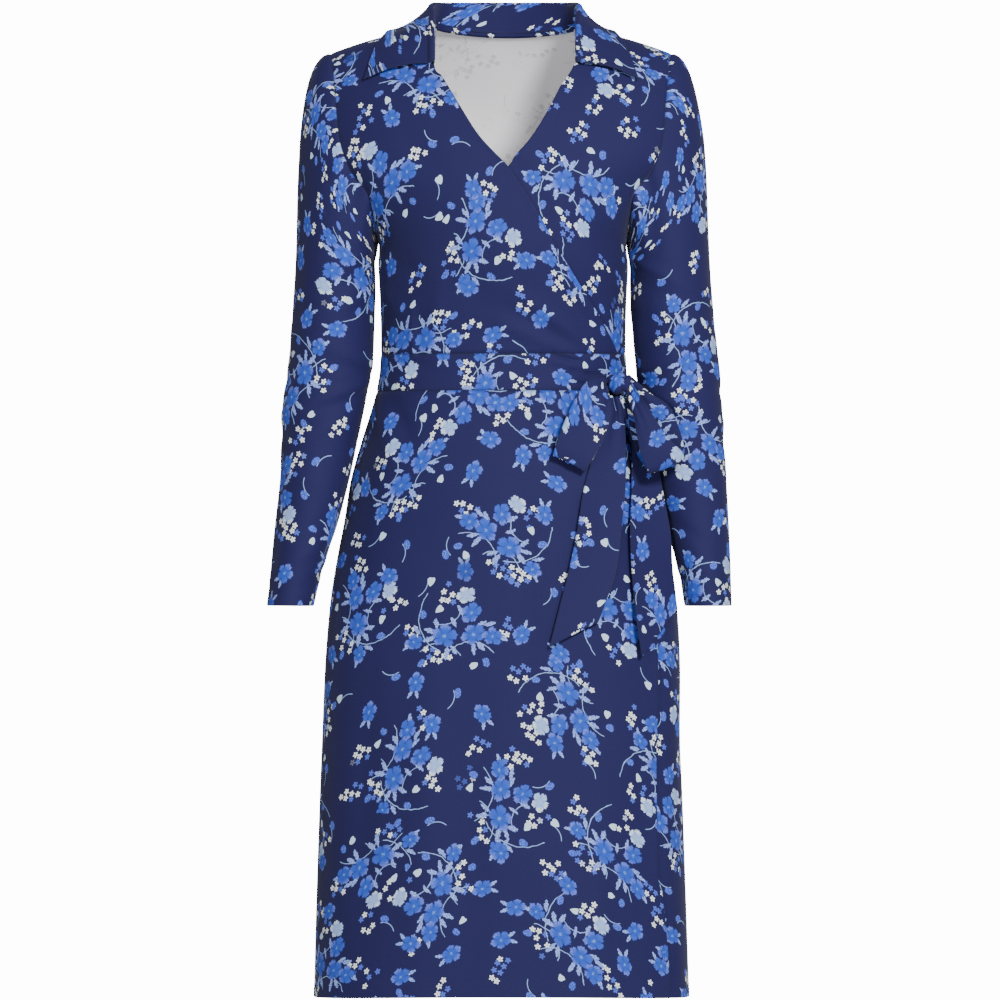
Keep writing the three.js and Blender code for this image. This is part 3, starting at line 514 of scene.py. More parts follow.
# Kinds of edge: sewn to its neighbour, turned under and stitched once, or hemmed twice
SEWN = "sewn"
TURNED = "turned"
HEMMED = "hemmed"
EDGE_STITCHES = {TURNED: (5.8,), HEMMED: (9.6, 12.0)}
EDGE_DEPTH = {TURNED: 7.2, HEMMED: 13.4}
HEM_ROWS = (0, 0.8, 1.8, 3.4, 5.6, 7.8, 9.6, 10.8, 12, 13.2, 14.6, 18)
EDGE_NEAR = (0, 0.8, 1.8, 3.2, 4.8, 5.8, 6.8, 8.4)


def edge_relief(distance, kind):
    """How an edge lies: a sewn one sinks, and a turned one is thicker and pulled in by stitches."""
    if kind == SEWN:
        return -0.7 * np.exp(-((distance / 1.9) ** 2))
    depth = EDGE_DEPTH[kind]
    raised = 0.45 * (1 - smoothstep(distance, depth - 1, depth + 1))
    pulled = sum(np.exp(-(((distance - line) / 0.9) ** 2)) for line in EDGE_STITCHES[kind])
    return raised - 0.4 * pulled


def edge_shade(distance, kind):
    """The distance from a seam that gives as much painted crease shade as a turned edge and its
    stitches do.
    """
    if kind == SEWN:
        return distance
    line = np.min([np.abs(distance - place) for place in EDGE_STITCHES[kind]], axis=0)
    return np.minimum(0.5 + distance * 1.3, 1.2 + line * 1.6)


class Cloth:
    """Grids of one piece of cloth: outer and inner points, its flat places and seam distance, which
    sets its painted crease shade.
    """

    def __init__(self, outer, normals, flat, seam, thick):
        self.outer = outer
        self.inner = outer - normals * thick
        self.flat = flat
        self.seam = seam
        self.thick = thick


def lay_panel(side, rows, left, right, kinds, lift=None, columns=66, thick=0.9):
    """One panel of the body between two edges, evenly spaced along each of its rows."""
    outer, normals, flat, seam = [], [], [], []
    lowest, highest = rows[0], rows[-1]
    for climb_of in rows:
        ends = []
        for edge in (left, right):
            turn = float(edge(climb_of(0.0)))
            for _ in range(10):
                turn = float(edge(climb_of(turn)))
            ends.append(turn)
        turns = np.linspace(-QUARTER, QUARTER, 721)
        run = body_point(turns, climb_of(turns), side)
        lengths = np.concatenate([[0], np.cumsum(np.linalg.norm(np.diff(run, axis=0), axis=1))])
        start, end = np.interp(ends, turns, lengths)
        across = start + spread_columns(end - start, columns)
        turn = np.interp(across, lengths, turns)
        turn[0], turn[-1] = ends
        climb = climb_of(turn)
        point = body_point(turn, climb, side)
        normal = body_normal(turn, climb, side)
        hidden = np.zeros_like(turn) if lift is None else lift(turn, climb)
        gaps = {
            "left": across - start,
            "right": end - across,
            "bottom": climb - lowest(turn),
            "top": highest(turn) - climb,
        }
        relief = sum(edge_relief(gaps[name], kind) for name, kind in kinds.items())
        out = hidden + body_folds(point, side) + relief
        outer.append(point + normal * out[:, None])
        normals.append(normal)
        middle = np.interp(0, turns, lengths)
        flat.append(np.stack([across - middle, climb], axis=-1))
        # Painted crease shade beside sewn seams, turned edges and their stitch lines, kept as a
        # distance from the seam
        dark = [edge_shade(gaps[name], kind) for name, kind in kinds.items()]
        seam.append(np.min(dark, axis=0))
    return Cloth(np.array(outer), np.array(normals), np.array(flat), np.array(seam), thick)


def dip_under(edge, lap, near, far):
    """An under front dips inside the over front and comes out level past its free edge."""

    def lift(turn, climb):
        z = body_point(turn, climb, 1)[..., 2]
        past = (turn - edge(climb)) * read(SECTIONS, "half", z)
        return -lap * (1 - smoothstep(past, near, far))

    return lift


def grid_normals(grid, closed=False):
    """Unit normals of a grid of points, from each point's neighbours."""
    if closed:
        around = np.roll(grid, -1, axis=1) - np.roll(grid, 1, axis=1)
    else:
        around = np.gradient(grid, axis=1)
    along = np.gradient(grid, axis=0)
    return unit(np.cross(around, along))


def walked(grid, axis):
    """Distance walked along one direction of a grid."""
    steps = np.linalg.norm(np.diff(grid, axis=axis), axis=2)
    zero = np.zeros((1, grid.shape[1])) if axis == 0 else np.zeros((grid.shape[0], 1))
    return np.concatenate([zero, np.cumsum(steps, axis=axis)], axis=axis)


# Meshes


def rim_of(rows, columns, closed):
    """Index pairs round the border of a grid, each with its neighbour one step in."""
    top = [((0, i), (1, i)) for i in range(columns)]
    bottom = [((rows - 1, i), (rows - 2, i)) for i in range(columns)]
    if closed:
        return [top, bottom[::-1]]
    right = [((j, columns - 1), (j, columns - 2)) for j in range(1, rows - 1)]
    left = [((j, 0), (j, 1)) for j in range(1, rows - 1)]
    return [top + right + bottom[::-1] + left[::-1]]


def cloth_mesh(name, cloth, closed=False, mats=("face", "reverse")):
    """A closed thin wall with rounded edges: the face outside and the reverse inside."""
    rows, columns = cloth.outer.shape[:2]
    layer = rows * columns
    points = [cloth.outer.reshape(-1, 3), cloth.inner.reshape(-1, 3)]
    flat_wide = cloth.flat.shape[1]
    faces, flats, kinds = [], [], []

    def spot(j, i):
        return j * columns + i % columns

    def place(j, i):
        return cloth.flat[j, min(i, flat_wide - 1)]

    last = columns if closed else columns - 1
    for j in range(rows - 1):
        for i in range(last):
            corners = ((j, i), (j, i + 1), (j + 1, i + 1), (j + 1, i))
            faces.append([spot(*c) for c in corners])
            flats.append([place(*c) for c in corners])
            kinds.append(0)
            faces.append([layer + spot(*c) for c in corners[::-1]])
            flats.append([place(*c) for c in corners[::-1]])
            kinds.append(1)
    count = 2 * layer
    rounded = []
    for loop in rim_of(rows, columns, closed):
        middles = []
        for (j, i), (inner_j, inner_i) in loop:
            edge = (cloth.outer[j, i] + cloth.inner[j, i]) / 2
            inward = (cloth.outer[inner_j, inner_i] + cloth.inner[inner_j, inner_i]) / 2
            away = edge - inward
            away /= max(np.linalg.norm(away), 1e-9)
            rounded.append(edge + away * cloth.thick * 0.3)
            middles.append(count)
            count += 1
        size = len(loop)
        for k in range(size):
            n = (k + 1) % size
            a, b = spot(*loop[k][0]), spot(*loop[n][0])
            corner = [place(*loop[k][0]), place(*loop[n][0])]
            if closed and n == 0:
                corner[1] = cloth.flat[loop[k][0][0], flat_wide - 1]
            faces.append([b, a, middles[k], middles[n]])
            flats.append([corner[1], corner[0], corner[0], corner[1]])
            kinds.append(0)
            faces.append([layer + a, layer + b, middles[n], middles[k]])
            flats.append([corner[0], corner[1], corner[1], corner[0]])
            kinds.append(0)
    everything = np.concatenate(points + [np.array(rounded)]) * MM
    mesh = bpy.data.meshes.new(name)
    mesh.from_pydata(everything.tolist(), [], faces)
    layer_map = mesh.uv_layers.new(name="cloth")
    layer_map.uv.foreach_set("vector", (np.concatenate(flats).ravel() * MM).astype(np.float32))
    # Distance from seams and edges, which the materials turn into painted crease shade
    seam = mesh.attributes.new("seam", "FLOAT", "POINT")
    seam_all = np.full(count, 0.0)
    seam_all[:layer] = cloth.seam.ravel()
    seam_all[layer : 2 * layer] = cloth.seam.ravel()
    seam.data.foreach_set("value", seam_all.astype(np.float32))
    mesh.polygons.foreach_set("material_index", kinds)
    for kind in mats:
        mesh.materials.append(material(kind))
    return finish_mesh(name, mesh)


def finish_mesh(name, mesh):
    """Joins a mesh to the scene as a smooth piece whose faces point outwards."""
    import bmesh

    shape = bmesh.new()
    shape.from_mesh(mesh)
    bmesh.ops.recalc_face_normals(shape, faces=shape.faces)
    shape.to_mesh(mesh)
    shape.free()
    mesh.shade_smooth()
    piece = bpy.data.objects.new(name, mesh)
    bpy.context.scene.collection.objects.link(piece)
    return piece


def flat_cut(cloth, closed):
    """Width, length and area of a piece laid flat, in metres, from the middle of its wall."""
    middle = (cloth.outer + cloth.inner) / 2
    if closed:
        middle = np.concatenate([middle, middle[:, :1]], axis=1)
    a = middle[1:, :-1] - middle[:-1, :-1]
    b = middle[:-1, 1:] - middle[:-1, :-1]
    c = middle[1:, 1:] - middle[1:, :-1]
    d = middle[1:, 1:] - middle[:-1, 1:]
    halves = np.linalg.norm(np.cross(a, b), axis=2) + np.linalg.norm(np.cross(c, d), axis=2)
    wide = walked(middle, 1)[:, -1].max() * MM
    long = walked(middle, 0)[-1].max() * MM
    area = float(halves.sum() / 2) * MM * MM
    return (float(wide), float(long)), min(area, wide * long)


def piece_of(name, cloth, closed=False, mats=("face", "reverse")):
    """Makes one sheet of cloth, joined to the body in place of its solid."""
    piece = cloth_mesh(name + "_cloth", cloth, closed, mats)
    flat, area = flat_cut(cloth, closed)
    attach(piece, BODY)
    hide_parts(name)
    return piece


def own_print(cloth, across, along):
    """Moves a piece's place on the printed cloth, so pieces don't repeat each other."""
    cloth.flat = cloth.flat + np.array([across, along])
    return cloth


# Bodice and skirt panels


def bodice_back():
    return lay_panel(
        -1,
        bodice_rows(back_top),
        side_edge(-1, -1),
        side_edge(1, -1),
        {"left": SEWN, "right": SEWN, "bottom": SEWN, "top": SEWN},
        thick=size("cloth"),
    )


def bodice_front(over):
    """The wearer's right front lies on top and the left one under it."""
    rows = bodice_rows(lambda turn: TOP_CLIMB + 0 * turn)
    kinds = {"bottom": SEWN, "top": SEWN}
    if over:
        edges = side_edge(-1, 1), OVER_EDGE
        kinds.update(left=SEWN, right=TURNED)
        return lay_panel(1, rows, *edges, kinds, thick=size("cloth"))
    edges = UNDER_EDGE, side_edge(1, 1)
    kinds.update(left=TURNED, right=SEWN)
    hidden = dip_under(OVER_EDGE, size("lap"), 9, 30)
    return lay_panel(1, rows, *edges, kinds, hidden, thick=size("cloth"))


def skirt_back():
    edges = (lambda climb: -QUARTER), (lambda climb: QUARTER)
    kinds = {"left": SEWN, "right": SEWN, "bottom": HEMMED, "top": SEWN}
    return lay_panel(-1, skirt_rows(), *edges, kinds, columns=76, thick=size("cloth"))


def skirt_front(over):
    kinds = {"bottom": HEMMED, "top": SEWN}
    if over:
        edges = (lambda climb: -QUARTER), SKIRT_FREE
        kinds.update(left=SEWN, right=TURNED)
        return lay_panel(1, skirt_rows(), *edges, kinds, columns=76, thick=size("cloth"))
    edges = (lambda climb: -SKIRT_FREE(climb)), (lambda climb: QUARTER)
    kinds.update(left=TURNED, right=SEWN)
    hidden = dip_under(SKIRT_FREE, size("lap"), 6, 26)
    return lay_panel(1, skirt_rows(), *edges, kinds, hidden, 76, size("cloth"))


def band():
    """The inset waist band, one ring that starts at the side seam by the knot."""
    turns = np.concatenate([np.linspace(-QUARTER, QUARTER, 96)[:-1]] * 2)
    sides = np.repeat([1, -1], 95)
    high = BAND_TOP - BAND_BOTTOM
    outer, normals, seam, flat = [], [], [], []
    for step in spread_columns(high, 5):
        z = BAND_BOTTOM + step
        line, away = [], []
        for side in (1, -1):
            turn = turns[sides == side] * side
            climb = climb_to(turn, z)
            point = body_point(turn, climb, side)
            normal = body_normal(turn, climb, side)
            relief = edge_relief(step, SEWN) + edge_relief(high - step, SEWN)
            out = 0.5 + body_folds(point, side) + relief
            line.append(point + normal * out[:, None])
            away.append(normal)
        line = np.concatenate(line)
        ring = np.vstack([line, line[:1]])
        run = np.concatenate([[0], np.cumsum(np.linalg.norm(np.diff(ring, axis=0), axis=1))])
        outer.append(line)
        normals.append(np.concatenate(away))
        flat.append(np.stack([run - run[-1] * 0.25, np.full_like(run, z)], axis=-1))
        # Distance from the band's seams, for its painted crease shade
        seam.append(np.full(len(line), min(step, high - step)))
    return Cloth(
        np.array(outer), np.array(normals), np.array(flat), np.array(seam), size("cloth")
    )


# Sleeves


def armhole_loop(hand, count):
    """Points and ways out round an armhole: up the front, over the shoulder, down the back."""
    points, normals = [], []
    for side in (1, -1):
        climbs = np.linspace(UNDERARM_CLIMB, TOP_CLIMB, 200)
        line = body_point(hand * ARMHOLE[side](climbs), climbs, side)
        run = np.concatenate([[0], np.cumsum(np.linalg.norm(np.diff(line, axis=0), axis=1))])
        climb = np.interp(np.linspace(0, run[-1], count + 1), run, climbs)
        turn = hand * ARMHOLE[side](climb)
        point = body_point(turn, climb, side)
        normal = body_normal(turn, climb, side)
        point = point + normal * (body_folds(point, side) + edge_relief(0, SEWN))[:, None]
        if side > 0:
            points.append(point[:-1])
            normals.append(normal[:-1])
        else:
            points.append(point[:0:-1])
            normals.append(normal[:0:-1])
    return np.concatenate(points), np.concatenate(normals)


def sleeve_ring(z, hand, angle):
    centre = read(SLEEVES, "left" if hand > 0 else "right", z)
    x = hand * (centre + read(SLEEVES, "half", z) * np.cos(angle))
    y = -read(SLEEVES, "fore", z) - read(SLEEVES, "deep", z) * np.sin(angle)
    return np.stack([x, y, np.full_like(x, z)], axis=-1)


def sleeve_relief(points, angle, hand):
    z = points[..., 2] + 5 * hand
    total = 0.8 * ripple(60 * angle, z, 2 + hand)
    for k, fold in enumerate(SLEEVE_FOLDS):
        turn = (angle - fold["at"] + math.pi) % (2 * math.pi) - math.pi
        level = fold["z"] + hand * 3 * math.sin(3.1 * k) + fold["slope"] * 38 * turn
        away = (z - level) / fold["breadth"]
        reach = turn / fold["reach"]
        strength = 1 + 0.2 * hand * math.cos(2.3 * k)
        total = total + fold["height"] * strength * np.exp(-away * away - reach * reach)
    return total


def sleeve(hand, count=48, cap_rows=40, tube_rows=88):
    start, start_out = armhole_loop(hand, count)
    angle = np.concatenate([
        math.pi * (1 - np.arange(count) / count),
        -math.pi * np.arange(count) / count,
    ])
    top_level, cuff = SLEEVES[0]["z"], SLEEVES[-1]["z"]
    end = sleeve_ring(top_level, hand, angle)
    top = (1 + np.cos(angle)) / 2
    bend = (start + end) / 2
    reach = np.abs(bend[:, 0]) * (1 - top) + (np.abs(end[:, 0]) + SLEEVE_HEAD[hand]) * top
    share = 0.5 - 0.5 * top
    bend = np.stack([
        hand * reach,
        bend[:, 1] * 1.06,
        start[:, 2] * (1 - share) + end[:, 2] * share,
    ], axis=-1)
    rows = []
    for t in np.concatenate([[0, 0.008, 0.02, 0.035], np.linspace(0.055, 1, cap_rows)])[:-1]:
        rows.append(start * (1 - t) ** 2 + bend * 2 * t * (1 - t) + end * t**2)
    levels = list(np.linspace(top_level, cuff + 22, tube_rows))
    levels += [cuff + d for d in HEM_ROWS[::-1]]
    rows += [sleeve_ring(z, hand, angle) for z in levels]
    grid = np.array(rows)
    joint = cap_rows + 3
    for _ in range(30):
        near = slice(joint - 14, joint + 15)
        before, after = slice(joint - 15, joint + 14), slice(joint - 13, joint + 16)
        grid[near] = (grid[before] + 2 * grid[near] + grid[after]) / 4
    centre = grid.mean(axis=1, keepdims=True)
    normals = grid_normals(grid, True)
    outward = np.sign(np.einsum("jik,jik->ji", normals, grid - centre).sum())
    normals *= outward
    from_start = walked(grid, 0)
    to_cuff = grid[..., 2] - cuff
    relief = sleeve_relief(grid, angle[None, :], hand)
    relief = relief * smoothstep(from_start, 0, 30) * (0.35 + 0.65 * smoothstep(to_cuff, 0, 40))
    relief = relief + edge_relief(from_start, SEWN) - edge_relief(0, SEWN)
    relief = relief + edge_relief(np.maximum(to_cuff, 0), HEMMED)
    grid = grid + normals * relief[..., None]
    normals[0] = start_out
    ring = np.concatenate([grid, grid[:, :1]], axis=1)
    around = walked(ring, 1)
    along = walked(ring[::-1], 0)[::-1]
    flat = np.stack([around[:, count : count + 1] - around, along], axis=-1)
    # The distance from the armhole seam gives painted crease shade along that seam
    return Cloth(grid, normals, flat, np.minimum(from_start, 40), size("cloth"))


# Collar, binding and tie


def middle_cloth(grid, thick, seam=None, closed=False):
    """Cloth either side of a grid of its middle points."""
    normals = grid_normals(grid, closed)
    wide = np.concatenate([grid, grid[:, :1]], axis=1) if closed else grid
    flat = np.stack([walked(wide, 1), walked(wide, 0)], axis=-1)
    # 40 mm from any seam, where no painted crease shade falls
    distance = np.full(grid.shape[:2], 40.0) if seam is None else seam
    return Cloth(grid + normals * thick / 2, normals, flat, distance, thick)


def both_hands(part, middle):
    """Points of the collar's rows at the wearer's left, then the same at the right."""
    left = [row[part] for row in COLLAR]
    right = [(-x, y, z) for x, y, z in left[-2::-1]]
    return [(middle + x, y, z) for x, y, z in left + right]


def curve_at(points, share):
    fine = smooth_curve(points, 600)
    steps = np.linspace(0, 1, 600)
    return np.stack([np.interp(share, steps, fine[:, k]) for k in range(3)], axis=-1)


def collar():
    sewn = []
    for hand in (1, -1):
        for row in COLLAR[:: hand][max(-hand, 0) :]:
            out_by, level = row["sew"]
            x = NECK_MIDDLE + hand * out_by
            if level is None:
                turn = yoke_turn(x)
                point = body_point(turn, back_top(turn), -1)
            else:
                point = body_point(*locate(x, level), 1)
            sewn.append((point[0], point[1], point[2] + 0.4))
    share = spread_columns(400, 130) / 400
    foot = curve_at(sewn, share)
    fold = curve_at(both_hands("fold", NECK_MIDDLE), share)
    rim = curve_at(both_hands("edge", 0), share)
    out = rim - fold
    out[:, 2] = 0
    out = unit(out)
    centre = fold + out * COLLAR_TURN - np.array([0, 0, COLLAR_TURN])
    lines = [foot * (1 - k) + fold * k for k in np.linspace(0, 1, 12)[:-1]]
    for angle in np.linspace(math.pi, 0, 9):
        spot = centre + out * COLLAR_TURN * math.cos(angle)
        lines.append(spot + np.array([0, 0, COLLAR_TURN * math.sin(angle)]))
    begin = lines[-1]
    arch = [(0, 0, row["arch"]) for row in COLLAR]
    bend = (begin + rim) / 2 + curve_at(arch + arch[-2::-1], share)
    from_rim = np.concatenate([np.linspace(1, 0.16, 18), np.array(EDGE_NEAR[::-1]) / 62])
    for left in from_rim[1:]:
        t = 1 - left
        lines.append(begin * (1 - t) ** 2 + bend * 2 * t * (1 - t) + rim * t**2)
    grid = np.array(lines)
    normals = grid_normals(grid)
    falls = walked(grid, 0)
    to_rim = falls[-1][None, :] - falls
    along = walked(grid, 1)
    to_end = np.minimum(along, along[:, -1:] - along)
    fall = smoothstep(np.arange(len(grid)), 20, 24)[:, None]
    sway = 0.9 * np.sin(grid[..., 0] * 0.05 + 1.2) * fall
    pulled = edge_relief(to_rim, TURNED) + edge_relief(to_end, TURNED)
    way = np.sign(normals[-8, 20, 2]) or 1
    grid = grid + normals * way * (sway + pulled * fall)[..., None]
    # Painted crease shade at the sewn foot, along the rim and the ends, and along their stitches
    dark = np.minimum(edge_shade(to_rim, TURNED), edge_shade(to_end, TURNED))
    return middle_cloth(grid, 2 * size("cloth"), np.minimum(falls, dark))


def neck_binding():
    """The strip that covers the back neck seam, half on the collar's stand."""
    turn = np.linspace(NECK_RIGHT, NECK_LEFT, 90)[2:-2]
    top = back_top(turn)
    seam_line = body_point(turn, top, -1)
    share = (turn - NECK_RIGHT) / (NECK_LEFT - NECK_RIGHT)
    back = curve_at(both_hands("fold", NECK_MIDDLE)[3:8], 1 - share)
    rise = unit(back - seam_line)
    inside = -body_normal(turn, top, -1)
    rows = []
    for height in np.linspace(-4.6, 7.4, 14):
        if height < 0:
            point = body_point(turn, top + height, -1)
        else:
            point = seam_line + rise * height
        pulled = 0.25 * math.exp(-(((height - 5.6) / 0.8) ** 2))
        rows.append(point + inside * (1.7 + size("cloth") - pulled))
    return middle_cloth(np.array(rows), size("cloth"))


def ribbon(rows, pleats, belly, steps=110, across=26):
    """A strip of the tie through pairs of edge points, pleated where it leaves the knot."""
    share = np.linspace(0, 1, steps)
    first = curve_at([row[0] for row in rows], share)
    second = curve_at([row[1] for row in rows], share)
    over = (1 - np.cos(np.linspace(0, math.pi, across))) / 2
    grid = first[:, None] * (1 - over)[None, :, None] + second[:, None] * over[None, :, None]
    normals = grid_normals(grid)
    along = walked(grid, 0)
    from_knot = along if pleats["ends"] == 1 else np.minimum(along, along[-1:] - along)
    fan = np.exp(-((from_knot / pleats["reach"]) ** 1.6))
    across_wave = np.sin(over * math.pi * pleats["count"] + pleats["phase"])
    hollow = np.sin(math.pi * over)[None, :] * np.sin(math.pi * share)[:, None]
    slow = np.sin(along * 0.045 + pleats["phase"]) * (over - 0.5)[None, :]
    relief = belly * hollow + pleats["height"] * fan * across_wave[None, :] + 1.1 * slow
    inwards = walked(grid, 1)
    to_edge = np.minimum(inwards, inwards[:, -1:] - inwards)
    # Painted shade along both folded edges of the strip
    dark = 0.7 + to_edge * 0.8
    return middle_cloth(grid + normals * relief[..., None], 1.9 * size("cloth"), dark)


def knot():
    """The strip wound over the tie: a soft pinched ring with folds along its winding."""
    wide, deep, high = KNOT["half"]
    across = np.concatenate([[-0.82, -0.92], np.linspace(-1, 1, 31), [0.92, 0.82]])
    lip = np.concatenate([[0.45, 0.5], np.ones(31), [0.5, 0.45]])
    angle = np.linspace(0, 2 * math.pi, 80, endpoint=False)
    rows = []
    for at, inward in zip(across, lip):
        pinch = (1 - min(abs(at), 1) ** 3 * 0.42) * inward
        ring_y = np.sign(np.cos(angle)) * np.abs(np.cos(angle)) ** 0.75
        ring_z = np.sign(np.sin(angle)) * np.abs(np.sin(angle)) ** 0.75
        x = wide * 0.97 * at
        lean = 0.12 * np.sin(angle) * x
        crease = sum(
            depth * np.exp(-(((x - centre - slant * np.sin(angle)) / breadth) ** 2))
            for centre, slant, breadth, depth in KNOT_FOLDS
        )
        grow = 1 + crease / deep
        rows.append(np.stack([
            np.full_like(angle, x) + lean,
            deep * 0.92 * pinch * ring_y * grow,
            high * 0.94 * pinch * ring_z * grow,
        ], axis=-1))
    grid = np.array(rows) + np.array(KNOT["centre"])
    return middle_cloth(grid, size("cloth"), closed=True)


# Materials


class Wire:
    """A value in a material's nodes that takes ordinary arithmetic."""

    def __init__(self, tree, socket):
        self.tree = tree
        self.socket = socket

    def node(self, kind, looks=None, output=0, **inputs):
        """A new node with its looks set first, then its inputs by name or by number."""
        made = self.tree.nodes.new(kind)
        for name, value in (looks or {}).items():
            setattr(made, name, value)
        for name, value in inputs.items():
            key = int(name[1:]) if name[1:].isdigit() else name.replace("_", " ")
            if isinstance(value, Wire):
                self.tree.links.new(value.socket, made.inputs[key])
            else:
                made.inputs[key].default_value = value
        return Wire(self.tree, made.outputs[output])

    def maths(self, operation, other=0.0, third=0.0):
        return self.node(
            "ShaderNodeMath", {"operation": operation}, i0=self, i1=other, i2=third
        )

    def vector(self, operation, other=(0, 0, 0), output=0):
        looks = {"operation": operation}
        return self.node("ShaderNodeVectorMath", looks, output, i0=self, i1=other)

    def times(self, factor):
        return self.node("ShaderNodeVectorMath", {"operation": "SCALE"}, 0, i0=self, Scale=factor)

    def part(self, index):
        return self.node("ShaderNodeSeparateXYZ", None, index, Vector=self)

    def step(self, low, high, first=0.0, last=1.0):
        """Runs smoothly from one value to another between two limits."""
        return self.node(
            "ShaderNodeMapRange",
            {"interpolation_type": "SMOOTHSTEP"},
            i0=self,
            i1=low,
            i2=high,
            i3=first,
            i4=last,
        )

    def above(self, limit):
        return self.step(limit - SHARP, limit)

    def below(self, limit):
        return self.step(limit - SHARP, limit, 1, 0)

    def put(self, x, y, turn, half_x, half_y):
        """Plane coordinates of a motif: its centre at 0, and its ends at 1 and -1."""
        return self.node(
            "ShaderNodeMapping",
            {"vector_type": "TEXTURE"},
            Vector=self,
            Location=(x, y, 0),
            Rotation=(0, 0, turn),
            Scale=(half_x, half_y, 1),
        )

    def length(self):
        return self.vector("LENGTH", output=1)

    def mix(self, other, share):
        """This colour, or the other one where share is 1."""
        return self.node("ShaderNodeMix", {"data_type": "RGBA"}, 2, i0=share, i6=self, i7=other)

    def __add__(self, other):
        return self.maths("ADD", other)

    def __sub__(self, other):
        return self.maths("SUBTRACT", other)

    def __mul__(self, other):
        return self.maths("MULTIPLY", other)

    def __or__(self, other):
        return self.maths("MAXIMUM", other)

    def __radd__(self, other):
        return self.maths("ADD", other)

    def __rsub__(self, other):
        return self.maths("MULTIPLY_ADD", -1.0, other)

    def __rmul__(self, other):
        return self.maths("MULTIPLY", other)

    def __abs__(self):
        return self.maths("ABSOLUTE")


# The print, in millimetres. A spray repeats about every SPRAY_PITCH, turned at random, and
# single motifs and tiny flowers fill the ground between sprays
SPRAY_PITCH = 124
SINGLE_PITCH = 41
TINY_PITCH = 7.4
PRINT_TURN = 0.47

# Half sizes of the ground that a spray keeps free of single motifs
SPRAY_ROOM = (50, 46)

# Single motifs are buds up to the first share, then hearts, then stems, then none
BUDS_TO, HEARTS_TO, STEMS_TO = 0.35, 0.45, 0.65
SHARP = 0.001

# Colour of the painted shade in the creases beside seams and turned edges, along their stitches and
# along the tie's edges
CREASE_SHADE = (0.01, 0.012, 0.035, 1)

# Blossoms: centre, turn, radius, petals, and whether pale
BLOSSOMS = (
    (10, 9, 0.2, 14, 5, False),
    (-14, -10, 0.9, 13, 5, False),
    (-31, -21, 0.4, 11.4, 5, False),
    (3, -26, 1.5, 11.8, 5, False),
    (20, -36, 0.7, 10.5, 5, True),
    (34, 31, 0.5, 9.8, 5, False),
)

# Leaves in a spray: centre, turn, half length and half width
LEAVES = (
    (-4, 21, 2.2, 8, 2.7),
    (-8, 14, 2.9, 7, 2.4),
    (22, 20, 0.9, 8, 2.8),
    (27, 13, 0.2, 8, 2.5),
    (26, 4, -0.7, 7, 2.3),
    (-24, 1, 2.4, 8, 2.6),
    (-28, -6, 3.0, 7, 2.4),
    (-13, -24, -1.9, 7, 2.3),
    (-20, -29, -2.3, 7.5, 2.4),
    (14, -21, -0.5, 7, 2.4),
    (12, -8, -0.3, 6.5, 2.2),
    (40, 20, -0.2, 7, 2.2),
    (37, 38, 1.2, 6.5, 2.2),
    (-40, -27, -2.8, 7.5, 2.3),
)

# Stems: centre and radius of the circle that each lies on, turn, and where its arc stops
STEMS = (
    (14, -18, 42, 0.95, 0.62),
    (-38, 24, 34, -0.75, 0.55),
    (30, -14, 18, 2.6, 0.5),
    (-6, 40, 28, -1.1, 0.6),
)

# Hearts and buds on the stems: centre, turn and half size
HEARTS = ((34, -9, -1.9, 4.4), (-36, 13, 1.2, 4.2))
BUDS = ((45, 4, -0.4, 5.2), (-44, 3, 2.8, 5), (12, 43, 1.3, 5))

# Patches of tiny flowers in a spray: centre, turn and half sizes
PATCHES = ((4, 31, 0.3, 19, 9.5), (-34, -38, 0.5, 14, 8.5), (36, -25, -0.9, 15, 8))


def leaf(place, soft=0.16):
    """A pointed leaf with a few teeth along its sides."""
    along, across = place.part(0), abs(place.part(1))
    teeth = (along * 11).maths("SINE") * 0.13
    return (1 - along * along + teeth - across).step(0, soft)


def heart(place):
    along, across = place.part(0), abs(place.part(1))
    lean = along - across * 0.55
    return (lean * lean + across * across * 1.15).step(0.86, 1, 1, 0)


def ellipse(place, soft=0.1):
    return place.length().step(1 - soft, 1, 1, 0)


def arc(place, radius, window):
    """A thin part of a circle, on its own +X side, about 0.8 mm thick."""
    line = abs(place.length() - 1).step(0.3 / radius, 0.6 / radius, 1, 0)
    return line * place.part(0).step(window, window + 0.02)


class Blossom:
    """Masks of one blossom: the whole, its light petals, the lines between, its middle."""

    def __init__(self, place, petals, rough):
        angle = place.part(1).maths("ARCTAN2", place.part(0))
        lobes = abs((angle * (petals / 2)).maths("COSINE")).maths("POWER", 0.6)
        self.far = place.length() + rough
        notch = abs((angle * (petals * 1.5)).maths("COSINE")) * 0.07
        edge = lobes * 0.3 + 0.68 + notch - place.part(1).step(0.2, 1) * 0.16
        self.whole = (edge - self.far).step(0, 0.05)
        self.petals = self.far.step(0.45, 0.9) * lobes.step(0.25, 0.75)
        self.lines = lobes.step(0.22, 0.6, 1, 0) * self.far.step(0.2, 0.5)
        self.middle = self.far.step(0.07, 0.17, 1, 0)


def spray_place(point):
    """A point's place in its spray, turned and turned over at random."""
    scaled = point.times(1 / SPRAY_PITCH)
    look = {"voronoi_dimensions": "2D"}
    cell = scaled.node("ShaderNodeTexVoronoi", look, 2, Vector=scaled, Scale=1, Randomness=0.32)
    shade = Wire(cell.tree, cell.socket.node.outputs["Color"])
    away = scaled.vector("SUBTRACT", cell).times(SPRAY_PITCH)
    chance = shade.part(0)
    turned = away.node(
        "ShaderNodeVectorRotate", {"rotation_type": "Z_AXIS"}, Vector=away, Angle=chance * 6.283
    )
    flip = (shade.part(1) - 0.5).maths("SIGN")
    sides = flip.node("ShaderNodeCombineXYZ", X=flip, Y=1.0, Z=0.0)
    return turned.vector("MULTIPLY", sides), shade


